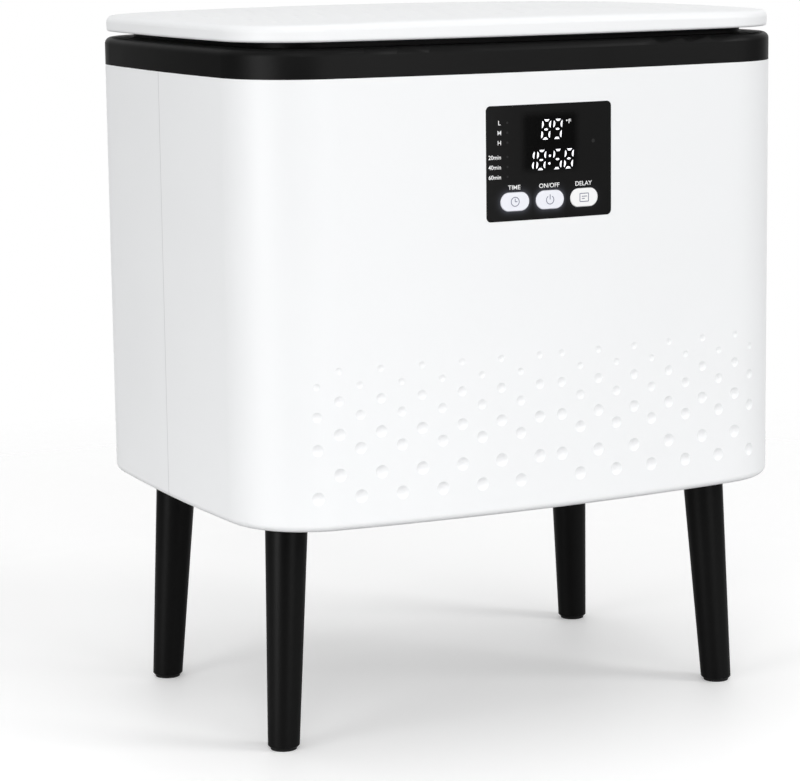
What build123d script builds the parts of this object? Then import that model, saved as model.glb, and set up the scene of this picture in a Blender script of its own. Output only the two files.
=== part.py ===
from build123d import *
import os
from math import asin, cos, hypot, pi, sin, sqrt

# Towel warmer bucket on four splayed legs, in millimetres.
# The origin is on the floor under the middle of the body; +Z is up, +X is to the
# right seen from the front, and the front with the control panel faces -Y.

os.makedirs("parts", exist_ok=True)

# ---------------------------------------------------------------- driving dimensions

# Plan outline of the body
body_length = 450.0  # left to right
body_depth = 352.0  # front to back
front_bow = 18.0  # bulge of the front and the back over the body's length
side_bow = 9.0  # bulge of each side over the body's depth
corner_radius = 64.0  # upright corners

# Heights of the body
leg_height = 168.0  # floor to the underside of the shells
shell_height = 315.0
rim_height = 20.5
finger_gap = 4.5  # top of the rim to the underside of the lid
lid_edge = 12.3
lid_crown = 2.5

# Shells
shell_wall = 2.5
shell_edge_radius = 5.0
shell_lip_width = 16.0
seam_strap_width = 24.0
seam_strap_thickness = 2.0
seam_strap_height = 262.0
seam_strap_lift = 22.0  # underside of the shells to the lower end of the strap
tab_width = 16.0
tab_reach = 17.0  # outer surface to the inner end of a rim tab
tab_thickness = 2.5
tab_drop = 7.5  # top of the shells down to the top of a tab

# Dimples pressed into the front, in columns that alternate between two sets of heights
dimple_columns = 12  # on each side of the middle
dimple_first = 9.1  # middle of the front to the first column
dimple_pitch = 15.45
dimple_diameters = (9.6, 8.6, 7.2, 5.2)
dimple_depths = (1.55, 1.3, 0.95, 0.6)
even_column_heights = (40.2, 68.9, 92.4, 113.5)  # above the underside of the shells
odd_column_heights = (24.2, 58.4, 81.8, 103.0)

# Dimples pressed into the lid, in staggered rows
lid_dimple_rows = 5  # on each side of the middle
lid_dimple_columns = 10
lid_dimple_first_row = 14.0
lid_dimple_row_pitch = 26.0
lid_dimple_pitch = 19.3  # along a row
lid_dimple_diameter = 8.0
lid_dimple_depth = 1.0

# Rim
rim_wall = 3.0
rim_edge_radius = 5.0
tongue_wall = 2.5
tongue_depth = 6.0
neck_inset = 22.0  # outer surface to the neck that the lid closes on
neck_wall = 3.0
neck_height = 2.7
gasket_side_gap = 0.2
lid_seal_gap = 0.3  # gasket to the closed lid

# Inner tub
tub_inset = 32.0  # outer surface of the body to the inner face of the tub
tub_sheet = 1.0
tub_lift = 46.0  # underside of the shells to the underside of the tub
tub_floor_radius = 9.0

# Heater and insulation
heater_thickness = 0.7
heater_height = 210.0
heater_lift = 16.0  # underside of the tub to the lower edge of the heater
wrap_thickness = 6.0
wrap_height = 250.0
pad_thickness = 7.0
pad_inset = 42.0
pad_gap = 0.4  # pad to the parts in its openings

# Base plate
plate_thickness = 3.0
plate_lift = 10.0  # underside of the shells to the underside of the plate
plate_skirt = 3.0

# Legs
leg_top_diameter = 31.0  # where the leg meets the underside of the shells
foot_diameter = 23.0
leg_end_inset = 48.5  # end of the body to the middle of a leg, at the underside of the shells
leg_front_inset = 73.0  # front or back of the body to the middle of a leg, at the same height
foot_splay_x = 9.0  # how far each foot stands out from the top of its leg
foot_splay_y = 7.5
leg_chamfer = 1.2
glide_diameter = 19.0
glide_height = 1.8
glide_stem_diameter = 6.0
glide_stem_length = 12.0
mount_diameter = 46.0
mount_thickness = 4.0
mount_boss_diameter = 18.0
mount_boss_height = 20.0
mount_screw_circle = 34.0
stud_diameter = 8.0
stud_grip = 28.0  # length of stud inside the leg
stud_cover = 2.0  # end of the stud to the top of its boss

# Control panel
panel_width = 102.0
panel_height = 81.5
panel_corner = 3.6
panel_drop = 63.6  # top of the shells down to the middle of the panel
fascia_thickness = 1.5
fascia_sink = 0.3
panel_ledge = 4.0
key_width = 22.8
key_height = 13.1
key_pitch = 28.2
key_drop = 27.2  # middle of the panel down to the keys
key_proud = 0.3  # face of a key out of the fascia
key_travel = 0.8
key_play = 0.3
key_flange_width = 1.3
key_flange_thickness = 1.2
key_edge_radius = 0.5
key_stem_diameter = 4.0
key_stop_gap = 0.1  # key to switch with the key pressed home
display_width = 78.0
display_height = 40.0
display_lift = 12.0
display_x = 1.0
board_width = 92.0
board_height = 70.0
board_thickness = 1.6
board_depth = 12.0  # outer surface to the front of the control board
switch_size = 6.0
switch_corner = 0.75
switch_body = 3.5
switch_plunger = 0.8
switch_plunger_diameter = 3.2
housing_wall = 2.0
housing_margin = 1.0  # panel window to the inside of the housing
housing_gap = 2.4  # back of the board to the back wall of the housing
housing_post_diameter = 5.0
housing_ear = 12.0
housing_ear_thickness = 2.5
housing_ear_pitch = 48.0
ear_boss_diameter = 7.0

# Power board and what it serves
power_board_length = 100.0
power_board_width = 60.0
power_board_x = 62.0
power_board_y = 62.0
power_post_height = 7.0
power_post_diameter = 7.0
power_post_margin = 6.0
component_offset = 20.0  # middle of the power board to the parts at its left and right
component_row = 7.5  # middle of the power board back to the relay and the filter
relay_size = (19.0, 15.5, 15.0)
filter_size = (24.0, 16.0, 13.0)
terminal_size = (30.0, 10.0, 12.0)
terminal_margin = 1.0  # front edge of the power board to the terminal block
terminal_pole = 7.5  # middle of the terminal block to each lead
cutout_diameter = 16.0
cutout_height = 7.5
cutout_edge_radius = 1.0
cutout_y = -62.0
sensor_size = (16.0, 8.0, 5.0)
sensor_corner = 2.0
sensor_x = 60.0

# Cord inlet at the back
inlet_x = 130.0
inlet_lift = 34.0  # underside of the shells to the middle of the inlet
inlet_width = 30.0
inlet_height = 24.0
inlet_flange = 4.0
gland_bore = 7.0
gland_shank_diameter = 12.0
gland_collar_diameter = 16.0
gland_collar_thickness = 2.5
gland_proud = 5.4
gland_taper = 15.0  # degrees, on the sleeve behind the collar
gland_nut_diameter = 18.0  # across its corners
gland_nut_thickness = 4.0
gland_length = 17.0

# Wiring
harness_diameter = 5.0
harness_bend = 18.0
harness_end_bend = 12.0
harness_end_run = 12.0
harness_slope_run = 24.0
heater_lead_diameter = 4.0
heater_lead_bend = 22.0
heater_lead_first_bend = 6.0
heater_lead_run = 24.0
heater_lead_dip = 5.0  # lowest bend below the terminals
heater_lead_drop = 1.0  # first bend above the terminals

# Lid
lid_inset = 1.5
lid_wall = 2.5
lid_edge_radius = 5.0
lid_lower_radius = 2.0
lid_ceiling = 9.3  # underside of the lid to the inside of its top
liner_thickness = 3.0
pan_inset = 36.0
pan_depth = 6.0
pan_wall = 2.0
lid_foam_inset = 40.0

# Lid hinge
hinge_spacing = 100.0
hinge_width = 30.0
hinge_inset = 3.5  # outer surface at the middle of the back to the pin
hinge_lift = 2.5  # top of the rim to the pin
pin_diameter = 2.4
barrel_diameter = 5.6
leaf_thickness = 1.2
leaf_reach = 15.5
leaf_screw_offset = 8.5  # middle of a leaf to each of its screws
leaf_boss_diameter = 7.6
lid_knuckle_width = 12.0

# Fasteners
screw_diameter = 3.0
screw_head_diameter = 6.0
screw_head_height = 1.8
screw_length = 10.0
socket_diameter = 2.2  # across the corners
lid_screw_length = 7.0
mount_screw_length = 6.5
sunk_head_height = 1.6  # of the screws under the shells
small_screw_diameter = 2.0
small_head_diameter = 3.8
small_head_height = 1.3
small_screw_length = 5.0
screw_boss_diameter = 8.5
screw_x = 118.0  # screws in the front and the back, from the middle
screw_y = 62.0  # screws in the sides, from the middle
screw_inset = 9.5

# Fits
fit_gap = 0.05  # between parts that seat on or in each other
part_gap = 0.2  # round parts dropped into an opening
swing_gap = 0.3  # between parts that move past each other
pin_play = 0.05

# ---------------------------------------------------------------- derived places

half_length = body_length / 2
half_depth = body_depth / 2
front_radius = (half_length**2 + front_bow**2) / (2 * front_bow)
side_radius = (half_depth**2 + side_bow**2) / (2 * side_bow)
front_centre = front_radius - half_depth  # y of the front arc's centre
side_centre = side_radius - half_length  # the right side's arc is centred at x = -side_centre

shell_top = leg_height + shell_height
lip_top = leg_height + shell_wall
rim_top = shell_top + rim_height
neck_top = rim_top + neck_height
lid_bottom = rim_top + finger_gap
lid_top = lid_bottom + lid_edge + lid_crown
plate_bottom = leg_height + plate_lift
plate_top = plate_bottom + plate_thickness
tub_outside = tub_inset - tub_sheet
tub_underside = leg_height + tub_lift
tub_floor = tub_underside + tub_sheet
flange_top = rim_top + tub_sheet
leg_top = plate_bottom - mount_thickness
leg_top_x = half_length - leg_end_inset
leg_top_y = half_depth - leg_front_inset
panel_z = shell_top - panel_drop
tab_top = shell_top - tab_drop
liner_top = lid_bottom + liner_thickness
pan_bottom = lid_bottom - pan_depth
hinge_y = half_depth - hinge_inset
hinge_z = rim_top + hinge_lift
rim_leaf_bottom = rim_top - leaf_thickness
lid_leaf_top = lid_bottom + leaf_thickness


def corner_centre():
    """Centre of the front right corner's arc, tangent to the front arc and to the side arc."""
    from_front = front_radius - corner_radius
    from_side = side_radius - corner_radius
    apart = hypot(side_centre, front_centre)
    along = (from_front**2 - from_side**2 + apart**2) / (2 * apart)
    across = sqrt(from_front**2 - along**2)
    ux, uy = -side_centre / apart, -front_centre / apart
    return (along * ux - across * uy, front_centre + along * uy + across * ux)


def outline(inset):
    """Plan outline of the body, moved inwards by inset: four bowed sides and round corners."""
    with BuildSketch() as plan:
        with Locations((0, front_centre)):
            Circle(front_radius - inset)
        with Locations((0, -front_centre)):
            Circle(front_radius - inset, mode=Mode.INTERSECT)
        with Locations((-side_centre, 0)):
            Circle(side_radius - inset, mode=Mode.INTERSECT)
        with Locations((side_centre, 0)):
            Circle(side_radius - inset, mode=Mode.INTERSECT)
        fillet(plan.vertices(), radius=corner_radius - inset)
    return plan.sketch


def band(low, high, outer, inner=None, mode=Mode.ADD):
    """Extrude the outline from height low to high, less the outline at inset inner if there is one."""
    with BuildSketch(Plane.XY.offset(low)) as section:
        add(outline(outer))
        if inner is not None:
            add(outline(inner), mode=Mode.SUBTRACT)
    extrude(section.sketch, amount=high - low, mode=mode)


def front_y(x, inset=0.0):
    """Place of the front arc on the y axis, at x, inset from the outer surface."""
    return front_centre - sqrt((front_radius - inset) ** 2 - x**2)


def side_x(y, inset=0.0):
    """Place of the right side's arc on the x axis, at y, inset from the outer surface."""
    return sqrt((side_radius - inset) ** 2 - y**2) - side_centre


def front_normal_point(x, proud):
    """Point proud of the front surface, square off the point of the outline at x."""
    corner_x, corner_y = corner_centre()
    tangent_x = corner_x * front_radius / (front_radius - corner_radius)
    if abs(x) <= tangent_x:
        centre_x, centre_y, radius = 0.0, front_centre, front_radius
    else:
        centre_x, centre_y, radius = corner_x, corner_y, corner_radius
    angle = asin((abs(x) - centre_x) / radius)
    side = 1 if x > 0 else -1
    reach = radius + proud
    return (side * (centre_x + reach * sin(angle)), centre_y - reach * cos(angle))


def ring_spots(inset):
    """Eight places for screws round the body, inset from the outer surface."""
    long_side = [(sx * screw_x, -sy * front_y(screw_x, inset)) for sx in (-1, 1) for sy in (-1, 1)]
    short_side = [(sx * side_x(screw_y, inset), sy * screw_y) for sx in (-1, 1) for sy in (-1, 1)]
    return long_side + short_side


def rods(spots, low, high, diameter, mode=Mode.ADD):
    """Upright round bosses, shanks or holes at the spots, from height low to high."""
    with BuildSketch(Plane.XY.offset(low)) as section:
        with Locations(*spots):
            Circle(diameter / 2)
    extrude(section.sketch, amount=high - low, mode=mode)


def cones(spots, low, height, clearance=0.0, mode=Mode.ADD):
    """Upright cones that narrow from a screw's head to its shank."""
    with Locations(*[(x, y, low + height / 2) for x, y in spots]):
        Cone(screw_head_diameter / 2 + clearance, screw_diameter / 2 + clearance, height, mode=mode)


def pan_head_screws(planes, diameter, length, head_diameter, head_height):
    """Screws with a head standing on each plane and the shank going down behind it."""
    with BuildSketch(*planes) as shanks:
        Circle(diameter / 2)
    extrude(shanks.sketch, amount=-length)
    with BuildSketch(*planes) as heads:
        Circle(head_diameter / 2)
        RegularPolygon(diameter / 2, 6, mode=Mode.SUBTRACT)
    extrude(heads.sketch, amount=head_height)
    with BuildSketch(*planes) as sockets:
        RegularPolygon(diameter / 2, 6)
    extrude(sockets.sketch, amount=head_height / 2)


def save(part, name):
    """Name the finished piece and write it."""
    part.label = name
    export_step(part, f"parts/{name}.step")


# ---------------------------------------------------------------- outer shells

lip_screw_spots = ring_spots(screw_inset)
rim_screw_spots = ring_spots(neck_inset / 2)
clearance_hole = screw_diameter + 2 * part_gap
pilot_hole = screw_diameter + 2 * fit_gap
small_pilot = small_screw_diameter + 2 * fit_gap


def make_shell(keep):
    """One half of the housing, parted at the middle of the sides."""
    with BuildPart() as shell:
        band(leg_height, shell_top, 0)
        fillet(shell.faces().sort_by(Axis.Z)[0].edges(), radius=shell_edge_radius)
        band(lip_top, shell_top, shell_wall, mode=Mode.SUBTRACT)
        band(leg_height, lip_top, shell_lip_width, mode=Mode.SUBTRACT)
        rods(lip_screw_spots, leg_height, lip_top, clearance_hole, Mode.SUBTRACT)
        cones(lip_screw_spots, leg_height, sunk_head_height, fit_gap, Mode.SUBTRACT)
        with BuildSketch(Plane.XY.offset(tab_top - tab_thickness)) as tabs:
            with Locations(*rim_screw_spots):
                Rectangle(2 * tab_reach, tab_width)
                Rectangle(tab_width, 2 * tab_reach)
            add(outline(shell_wall / 2), mode=Mode.INTERSECT)
            add(outline(tab_reach), mode=Mode.SUBTRACT)
        extrude(tabs.sketch, amount=tab_thickness)
        rods(rim_screw_spots, tab_top - tab_thickness, tab_top, clearance_hole, Mode.SUBTRACT)
        split(bisect_by=Plane.XZ, keep=keep)
    return shell.part


def bowed(profile, outer, inner):
    """Solid with the profile's outline seen from the front, between two insets of the front's bow."""
    box = profile.bounding_box()
    with BuildPart() as piece:
        band(box.min.Z, box.max.Z, outer, inner)
        extrude(profile, amount=body_depth, mode=Mode.INTERSECT)
    return piece.part


def rounded_panel(width, height, corner, x=0.0, z=panel_z):
    """Rounded rectangle seen from the front."""
    with BuildSketch(Plane.XZ) as face:
        with Locations((x, z)):
            RectangleRounded(width, height, corner)
    return face.sketch


def pill(width, height, x, z):
    """Long round-ended outline of a key, seen from the front."""
    with BuildSketch(Plane.XZ) as face:
        with Locations((x, z)):
            SlotOverall(width, height)
    return face.sketch


def at_depth(y):
    """Plane square to the y axis at y, facing the front."""
    return Plane.XZ.offset(-y)


# ---------------------------------------------------------------- front shell

fascia_back = fascia_sink + fascia_thickness
window_width = panel_width - 2 * panel_ledge
window_height = panel_height - 2 * panel_ledge
board_front_y = board_depth - half_depth
board_back_y = board_front_y + board_thickness
housing_width = window_width + 2 * housing_margin + 2 * housing_wall
housing_height = window_height + 2 * housing_margin + 2 * housing_wall
housing_floor_y = board_back_y + housing_gap
housing_back_y = housing_floor_y + housing_wall
ear_x = housing_width / 2 + housing_ear / 2
ear_spots = [(sx * ear_x, panel_z + sz * housing_ear_pitch / 2) for sx in (-1, 1) for sz in (-1, 1)]
ear_back_y = board_front_y + housing_ear_thickness

with BuildPart() as front_shell:
    add(make_shell(Keep.TOP))
    add(
        bowed(
            rounded_panel(panel_width + 2 * fit_gap, panel_height + 2 * fit_gap, panel_corner),
            -shell_wall,
            fascia_back + fit_gap,
        ),
        mode=Mode.SUBTRACT,
    )
    add(
        bowed(rounded_panel(window_width, window_height, panel_corner), -shell_wall, 2 * shell_wall),
        mode=Mode.SUBTRACT,
    )
    with BuildSketch(at_depth(board_front_y - fit_gap)) as ear_bosses:
        with Locations(*ear_spots):
            Circle(ear_boss_diameter / 2)
    extrude(ear_bosses.sketch, amount=board_front_y - fit_gap - front_y(ear_x, shell_wall / 2))
    with BuildSketch(at_depth(board_front_y - fit_gap)) as ear_pilots:
        with Locations(*ear_spots):
            Circle(small_pilot / 2)
    extrude(ear_pilots.sketch, amount=small_screw_length - housing_ear_thickness, mode=Mode.SUBTRACT)
    for row, (diameter, depth) in enumerate(zip(dimple_diameters, dimple_depths)):
        bowl_radius = (diameter**2 / 4 + depth**2) / (2 * depth)
        bowl_centres = []
        for column in range(dimple_columns):
            heights = even_column_heights if column % 2 == 0 else odd_column_heights
            for side in (-1, 1):
                x = side * (dimple_first + column * dimple_pitch)
                centre_x, centre_y = front_normal_point(x, bowl_radius - depth)
                bowl_centres.append((centre_x, centre_y, leg_height + heights[row]))
        with Locations(*bowl_centres):
            Sphere(bowl_radius, mode=Mode.SUBTRACT)
save(front_shell.part, "front_shell")

# ---------------------------------------------------------------- rear shell and cord inlet

inlet_z = leg_height + inlet_lift
inlet_turn = asin(inlet_x / front_radius)
inlet_origin = (inlet_x, front_radius * cos(inlet_turn) - front_centre, inlet_z)
inlet_plane = Plane(
    origin=inlet_origin,
    x_dir=(-cos(inlet_turn), sin(inlet_turn), 0),
    z_dir=(sin(inlet_turn), cos(inlet_turn), 0),
)
inlet_flange_front = shell_wall + part_gap
inlet_flange_back = inlet_flange_front + shell_wall

with BuildPart() as rear_shell:
    add(make_shell(Keep.BOTTOM))
    with BuildSketch(inlet_plane) as inlet_window:
        Rectangle(inlet_width + 2 * part_gap, inlet_height + 2 * part_gap)
    extrude(inlet_window.sketch, amount=2 * shell_wall, both=True, mode=Mode.SUBTRACT)
save(rear_shell.part, "rear_shell")

with BuildPart() as inlet_plate:
    with BuildSketch(inlet_plane) as inlet_face:
        Rectangle(inlet_width, inlet_height)
    extrude(inlet_face.sketch, amount=-inlet_flange_front)
    with BuildSketch(inlet_plane.offset(-inlet_flange_front)) as inlet_back:
        Rectangle(inlet_width + 2 * inlet_flange, inlet_height + 2 * inlet_flange)
    extrude(inlet_back.sketch, amount=inlet_flange_front - inlet_flange_back)
    with BuildSketch(inlet_plane) as inlet_hole:
        Circle(gland_shank_diameter / 2 + fit_gap)
    extrude(inlet_hole.sketch, amount=-inlet_flange_back, mode=Mode.SUBTRACT)
save(inlet_plate.part, "inlet_plate")

with BuildPart() as cord_gland:
    with BuildSketch(inlet_plane.offset(gland_proud - gland_length)) as gland_shank:
        Circle(gland_shank_diameter / 2)
    extrude(gland_shank.sketch, amount=gland_length - gland_proud + fit_gap)
    with BuildSketch(inlet_plane.offset(fit_gap)) as gland_collar:
        Circle(gland_collar_diameter / 2)
    extrude(gland_collar.sketch, amount=gland_collar_thickness)
    with BuildSketch(inlet_plane.offset(fit_gap + gland_collar_thickness)) as gland_sleeve:
        Circle(gland_shank_diameter / 2)
    extrude(
        gland_sleeve.sketch,
        amount=gland_proud - gland_collar_thickness - fit_gap,
        taper=gland_taper,
    )
    with BuildSketch(inlet_plane.offset(gland_proud)) as gland_hole:
        Circle(gland_bore / 2)
    extrude(gland_hole.sketch, amount=-gland_length, mode=Mode.SUBTRACT)
save(cord_gland.part, "cord_gland")

with BuildPart() as gland_nut:
    with BuildSketch(inlet_plane.offset(-inlet_flange_back - fit_gap)) as nut_face:
        RegularPolygon(gland_nut_diameter / 2, 6)
        Circle(gland_shank_diameter / 2 + fit_gap, mode=Mode.SUBTRACT)
    extrude(nut_face.sketch, amount=-gland_nut_thickness)
save(gland_nut.part, "gland_nut")

# ---------------------------------------------------------------- seam straps and screws of the body

strap_low = leg_height + seam_strap_lift
strap_inset = shell_wall + fit_gap

with BuildPart() as seam_straps:
    band(strap_low, strap_low + seam_strap_height, strap_inset, strap_inset + seam_strap_thickness)
    with BuildSketch(Plane.XY.offset(strap_low)) as strap_width:
        Rectangle(2 * body_length, seam_strap_width)
    extrude(strap_width.sketch, amount=seam_strap_height, mode=Mode.INTERSECT)
save(seam_straps.part, "seam_straps")


def facing(spots, z, up):
    """Level planes at the spots, facing up or down."""
    return [Plane(origin=(x, y, z), z_dir=(0, 0, 1 if up else -1)) for x, y in spots]


with BuildPart() as base_screws:
    rods(lip_screw_spots, leg_height, leg_height + screw_length, screw_diameter)
    cones(lip_screw_spots, leg_height, sunk_head_height)
    with BuildSketch(*facing(lip_screw_spots, leg_height, up=True)) as base_sockets:
        RegularPolygon(socket_diameter / 2, 6)
    extrude(base_sockets.sketch, amount=sunk_head_height / 2, mode=Mode.SUBTRACT)
save(base_screws.part, "base_screws")

with BuildPart() as rim_screws:
    pan_head_screws(
        facing(rim_screw_spots, tab_top - tab_thickness, up=False),
        screw_diameter,
        screw_length,
        screw_head_diameter,
        screw_head_height,
    )
save(rim_screws.part, "rim_screws")

# ---------------------------------------------------------------- rim, gasket and lid hinge

barrel_radius = barrel_diameter / 2
hinge_spots = (-hinge_spacing / 2, hinge_spacing / 2)
leaf_front_y = hinge_y - barrel_radius - swing_gap - leaf_thickness / 2
leaf_back_y = hinge_y - leaf_reach
leaf_screw_y = (leaf_front_y + leaf_back_y) / 2
leaf_screw_spots = [(x + sx * leaf_screw_offset, leaf_screw_y) for x in hinge_spots for sx in (-1, 1)]
leaf_boss_depth = small_screw_length - leaf_thickness


def barrel(x_low, x_high, diameter, mode=Mode.ADD):
    """Round bar along the hinge line."""
    with Locations(((x_low + x_high) / 2, hinge_y, hinge_z)):
        Cylinder(diameter / 2, x_high - x_low, rotation=(0, 90, 0), mode=mode)


def slab(x_low, x_high, y_low, y_high, z_low, z_high, mode=Mode.ADD):
    """Block between the given corners."""
    with Locations(((x_low + x_high) / 2, (y_low + y_high) / 2, (z_low + z_high) / 2)):
        Box(x_high - x_low, y_high - y_low, z_high - z_low, mode=mode)


def leaf_recess(z_low, z_high):
    """Room for both hinges in the piece that carries one of their leaves."""
    for x in hinge_spots:
        reach = hinge_width / 2 + swing_gap
        slab(x - reach, x + reach, leaf_back_y - part_gap, hinge_y, z_low, z_high, Mode.SUBTRACT)
        barrel(x - reach, x + reach, barrel_diameter + 2 * swing_gap, Mode.SUBTRACT)


def knuckle_leaf(x, knuckles, z_low, z_high, block_low, block_high):
    """One leaf of a hinge: a plate, and a block and a knuckle for each span of its own."""
    half_width = hinge_width / 2
    slab(x - half_width, x + half_width, leaf_back_y, leaf_front_y, z_low, z_high)
    for low, high in knuckles:
        slab(x + low, x + high, leaf_front_y, hinge_y, block_low, block_high)
        barrel(x + low, x + high, barrel_diameter)


with BuildPart() as rim_ring:
    band(shell_top, rim_top, 0)
    fillet(rim_ring.faces().sort_by(Axis.Z)[-1].edges(), radius=rim_edge_radius)
    band(shell_top, rim_top - rim_wall, rim_wall, mode=Mode.SUBTRACT)
    band(shell_top, rim_top, tub_outside - swing_gap, mode=Mode.SUBTRACT)
    band(
        shell_top - tongue_depth,
        rim_top - rim_wall,
        shell_wall + part_gap,
        shell_wall + part_gap + tongue_wall,
    )
    band(rim_top, neck_top, neck_inset, neck_inset + neck_wall)
    rods(rim_screw_spots, tab_top, rim_top - rim_wall, screw_boss_diameter)
    rods(rim_screw_spots, tab_top, tab_top + screw_length - tab_thickness, pilot_hole, Mode.SUBTRACT)
    leaf_recess(rim_leaf_bottom, rim_top)
    rods(
        leaf_screw_spots,
        rim_leaf_bottom - leaf_boss_depth - fit_gap,
        rim_top - rim_wall,
        leaf_boss_diameter,
    )
    rods(
        leaf_screw_spots,
        rim_leaf_bottom - leaf_boss_depth,
        rim_leaf_bottom,
        small_pilot,
        Mode.SUBTRACT,
    )
save(rim_ring.part, "rim_ring")

with BuildPart() as neck_gasket:
    band(
        neck_top,
        lid_bottom - lid_seal_gap,
        neck_inset + gasket_side_gap,
        neck_inset + neck_wall - gasket_side_gap,
    )
save(neck_gasket.part, "neck_gasket")

side_knuckle = (lid_knuckle_width / 2 + swing_gap, hinge_width / 2)
rim_knuckles = (side_knuckle, (-side_knuckle[1], -side_knuckle[0]))
lid_knuckle = ((-lid_knuckle_width / 2, lid_knuckle_width / 2),)
pin_bore = pin_diameter + 2 * pin_play

with BuildPart() as rim_hinge_leaves:
    for x in hinge_spots:
        knuckle_leaf(x, rim_knuckles, rim_leaf_bottom, rim_top, rim_leaf_bottom, hinge_z)
        barrel(x - hinge_width, x + hinge_width, pin_bore, Mode.SUBTRACT)
    rods(leaf_screw_spots, rim_leaf_bottom, rim_top, small_pilot, Mode.SUBTRACT)
save(rim_hinge_leaves.part, "rim_hinge_leaves")

with BuildPart() as lid_hinge_leaves:
    for x in hinge_spots:
        knuckle_leaf(x, lid_knuckle, lid_bottom, lid_leaf_top, hinge_z, lid_leaf_top)
        barrel(x - hinge_width, x + hinge_width, pin_bore, Mode.SUBTRACT)
    rods(leaf_screw_spots, lid_bottom, lid_leaf_top, small_pilot, Mode.SUBTRACT)
save(lid_hinge_leaves.part, "lid_hinge_leaves")

with BuildPart() as hinge_pins:
    for x in hinge_spots:
        barrel(x - hinge_width / 2, x + hinge_width / 2, pin_diameter)
save(hinge_pins.part, "hinge_pins")

with BuildPart() as rim_leaf_screws:
    pan_head_screws(
        facing(leaf_screw_spots, rim_top, up=True),
        small_screw_diameter,
        small_screw_length,
        small_head_diameter,
        small_head_height,
    )
save(rim_leaf_screws.part, "rim_leaf_screws")

with BuildPart() as lid_leaf_screws:
    pan_head_screws(
        facing(leaf_screw_spots, lid_bottom, up=False),
        small_screw_diameter,
        small_screw_length,
        small_head_diameter,
        small_head_height,
    )
save(lid_leaf_screws.part, "lid_leaf_screws")

# ---------------------------------------------------------------- tub, heater and insulation

with BuildPart() as tub_hollow:
    band(tub_floor, flange_top, tub_inset)
    fillet(tub_hollow.faces().sort_by(Axis.Z)[0].edges(), radius=tub_floor_radius)

with BuildPart() as inner_tub:
    band(tub_underside, rim_top, tub_outside)
    fillet(inner_tub.faces().sort_by(Axis.Z)[0].edges(), radius=tub_floor_radius + tub_sheet)
    band(rim_top, flange_top, neck_inset + neck_wall + part_gap)
    add(tub_hollow.part, mode=Mode.SUBTRACT)
save(inner_tub.part, "inner_tub")

heater_inner = tub_outside - fit_gap
heater_outer = heater_inner - heater_thickness
wrap_inner = heater_outer - fit_gap
heater_low = tub_underside + heater_lift

with BuildPart() as heater_film:
    band(heater_low, heater_low + heater_height, heater_outer, heater_inner)
save(heater_film.part, "heater_film")

with BuildPart() as insulation_wrap:
    band(tub_underside, tub_underside + wrap_height, wrap_inner - wrap_thickness, wrap_inner)
save(insulation_wrap.part, "insulation_wrap")

pad_top = tub_underside - fit_gap
pad_bottom = pad_top - pad_thickness
sensor_length, sensor_width, sensor_height = sensor_size

with BuildPart() as floor_pad:
    band(pad_bottom, pad_top, pad_inset)
    rods([(0, cutout_y)], pad_bottom, pad_top, cutout_diameter + 2 * pad_gap, Mode.SUBTRACT)
    with BuildSketch(Plane.XY.offset(pad_bottom)) as sensor_slot:
        with Locations((sensor_x, cutout_y)):
            Rectangle(sensor_length + 2 * pad_gap, sensor_width + 2 * pad_gap)
    extrude(sensor_slot.sketch, amount=pad_thickness, mode=Mode.SUBTRACT)
save(floor_pad.part, "floor_pad")

with BuildPart() as thermal_cutout:
    rods([(0, cutout_y)], pad_top - cutout_height, pad_top, cutout_diameter)
    fillet(thermal_cutout.faces().sort_by(Axis.Z)[0].edges(), radius=cutout_edge_radius)
save(thermal_cutout.part, "thermal_cutout")

with BuildPart() as temperature_sensor:
    with BuildSketch(Plane.XY.offset(pad_top)) as sensor_face:
        with Locations((sensor_x, cutout_y)):
            RectangleRounded(sensor_length, sensor_width, sensor_corner)
    extrude(sensor_face.sketch, amount=-sensor_height)
save(temperature_sensor.part, "temperature_sensor")

# ---------------------------------------------------------------- base plate and legs

leg_sides = {
    "leg_front_left": (-1, -1),
    "leg_front_right": (1, -1),
    "leg_rear_left": (-1, 1),
    "leg_rear_right": (1, 1),
}


def leg_centre(side_x_sign, side_y_sign, z):
    """Middle of a leg at height z, on the straight line from its foot to the body."""
    share = z / leg_height
    return (
        side_x_sign * (leg_top_x + (1 - share) * foot_splay_x),
        side_y_sign * (leg_top_y + (1 - share) * foot_splay_y),
    )


def leg_radius(z):
    """Radius of a leg at height z."""
    return (foot_diameter + z / leg_height * (leg_top_diameter - foot_diameter)) / 2


mount_spots = [leg_centre(sx, sy, leg_top) for sx, sy in leg_sides.values()]
mount_top = plate_bottom + mount_boss_height
stud_top = mount_top - stud_cover
mount_screw_spots = []
for spot_x, spot_y in mount_spots:
    for location in PolarLocations(mount_screw_circle / 2, 3).local_locations:
        mount_screw_spots.append((spot_x + location.position.X, spot_y + location.position.Y))
power_post_spots = [
    (
        power_board_x + sx * (power_board_length / 2 - power_post_margin),
        power_board_y + sy * (power_board_width / 2 - power_post_margin),
    )
    for sx in (-1, 1)
    for sy in (-1, 1)
]
power_board_bottom = plate_top + power_post_height
power_board_top = power_board_bottom + board_thickness

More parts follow.
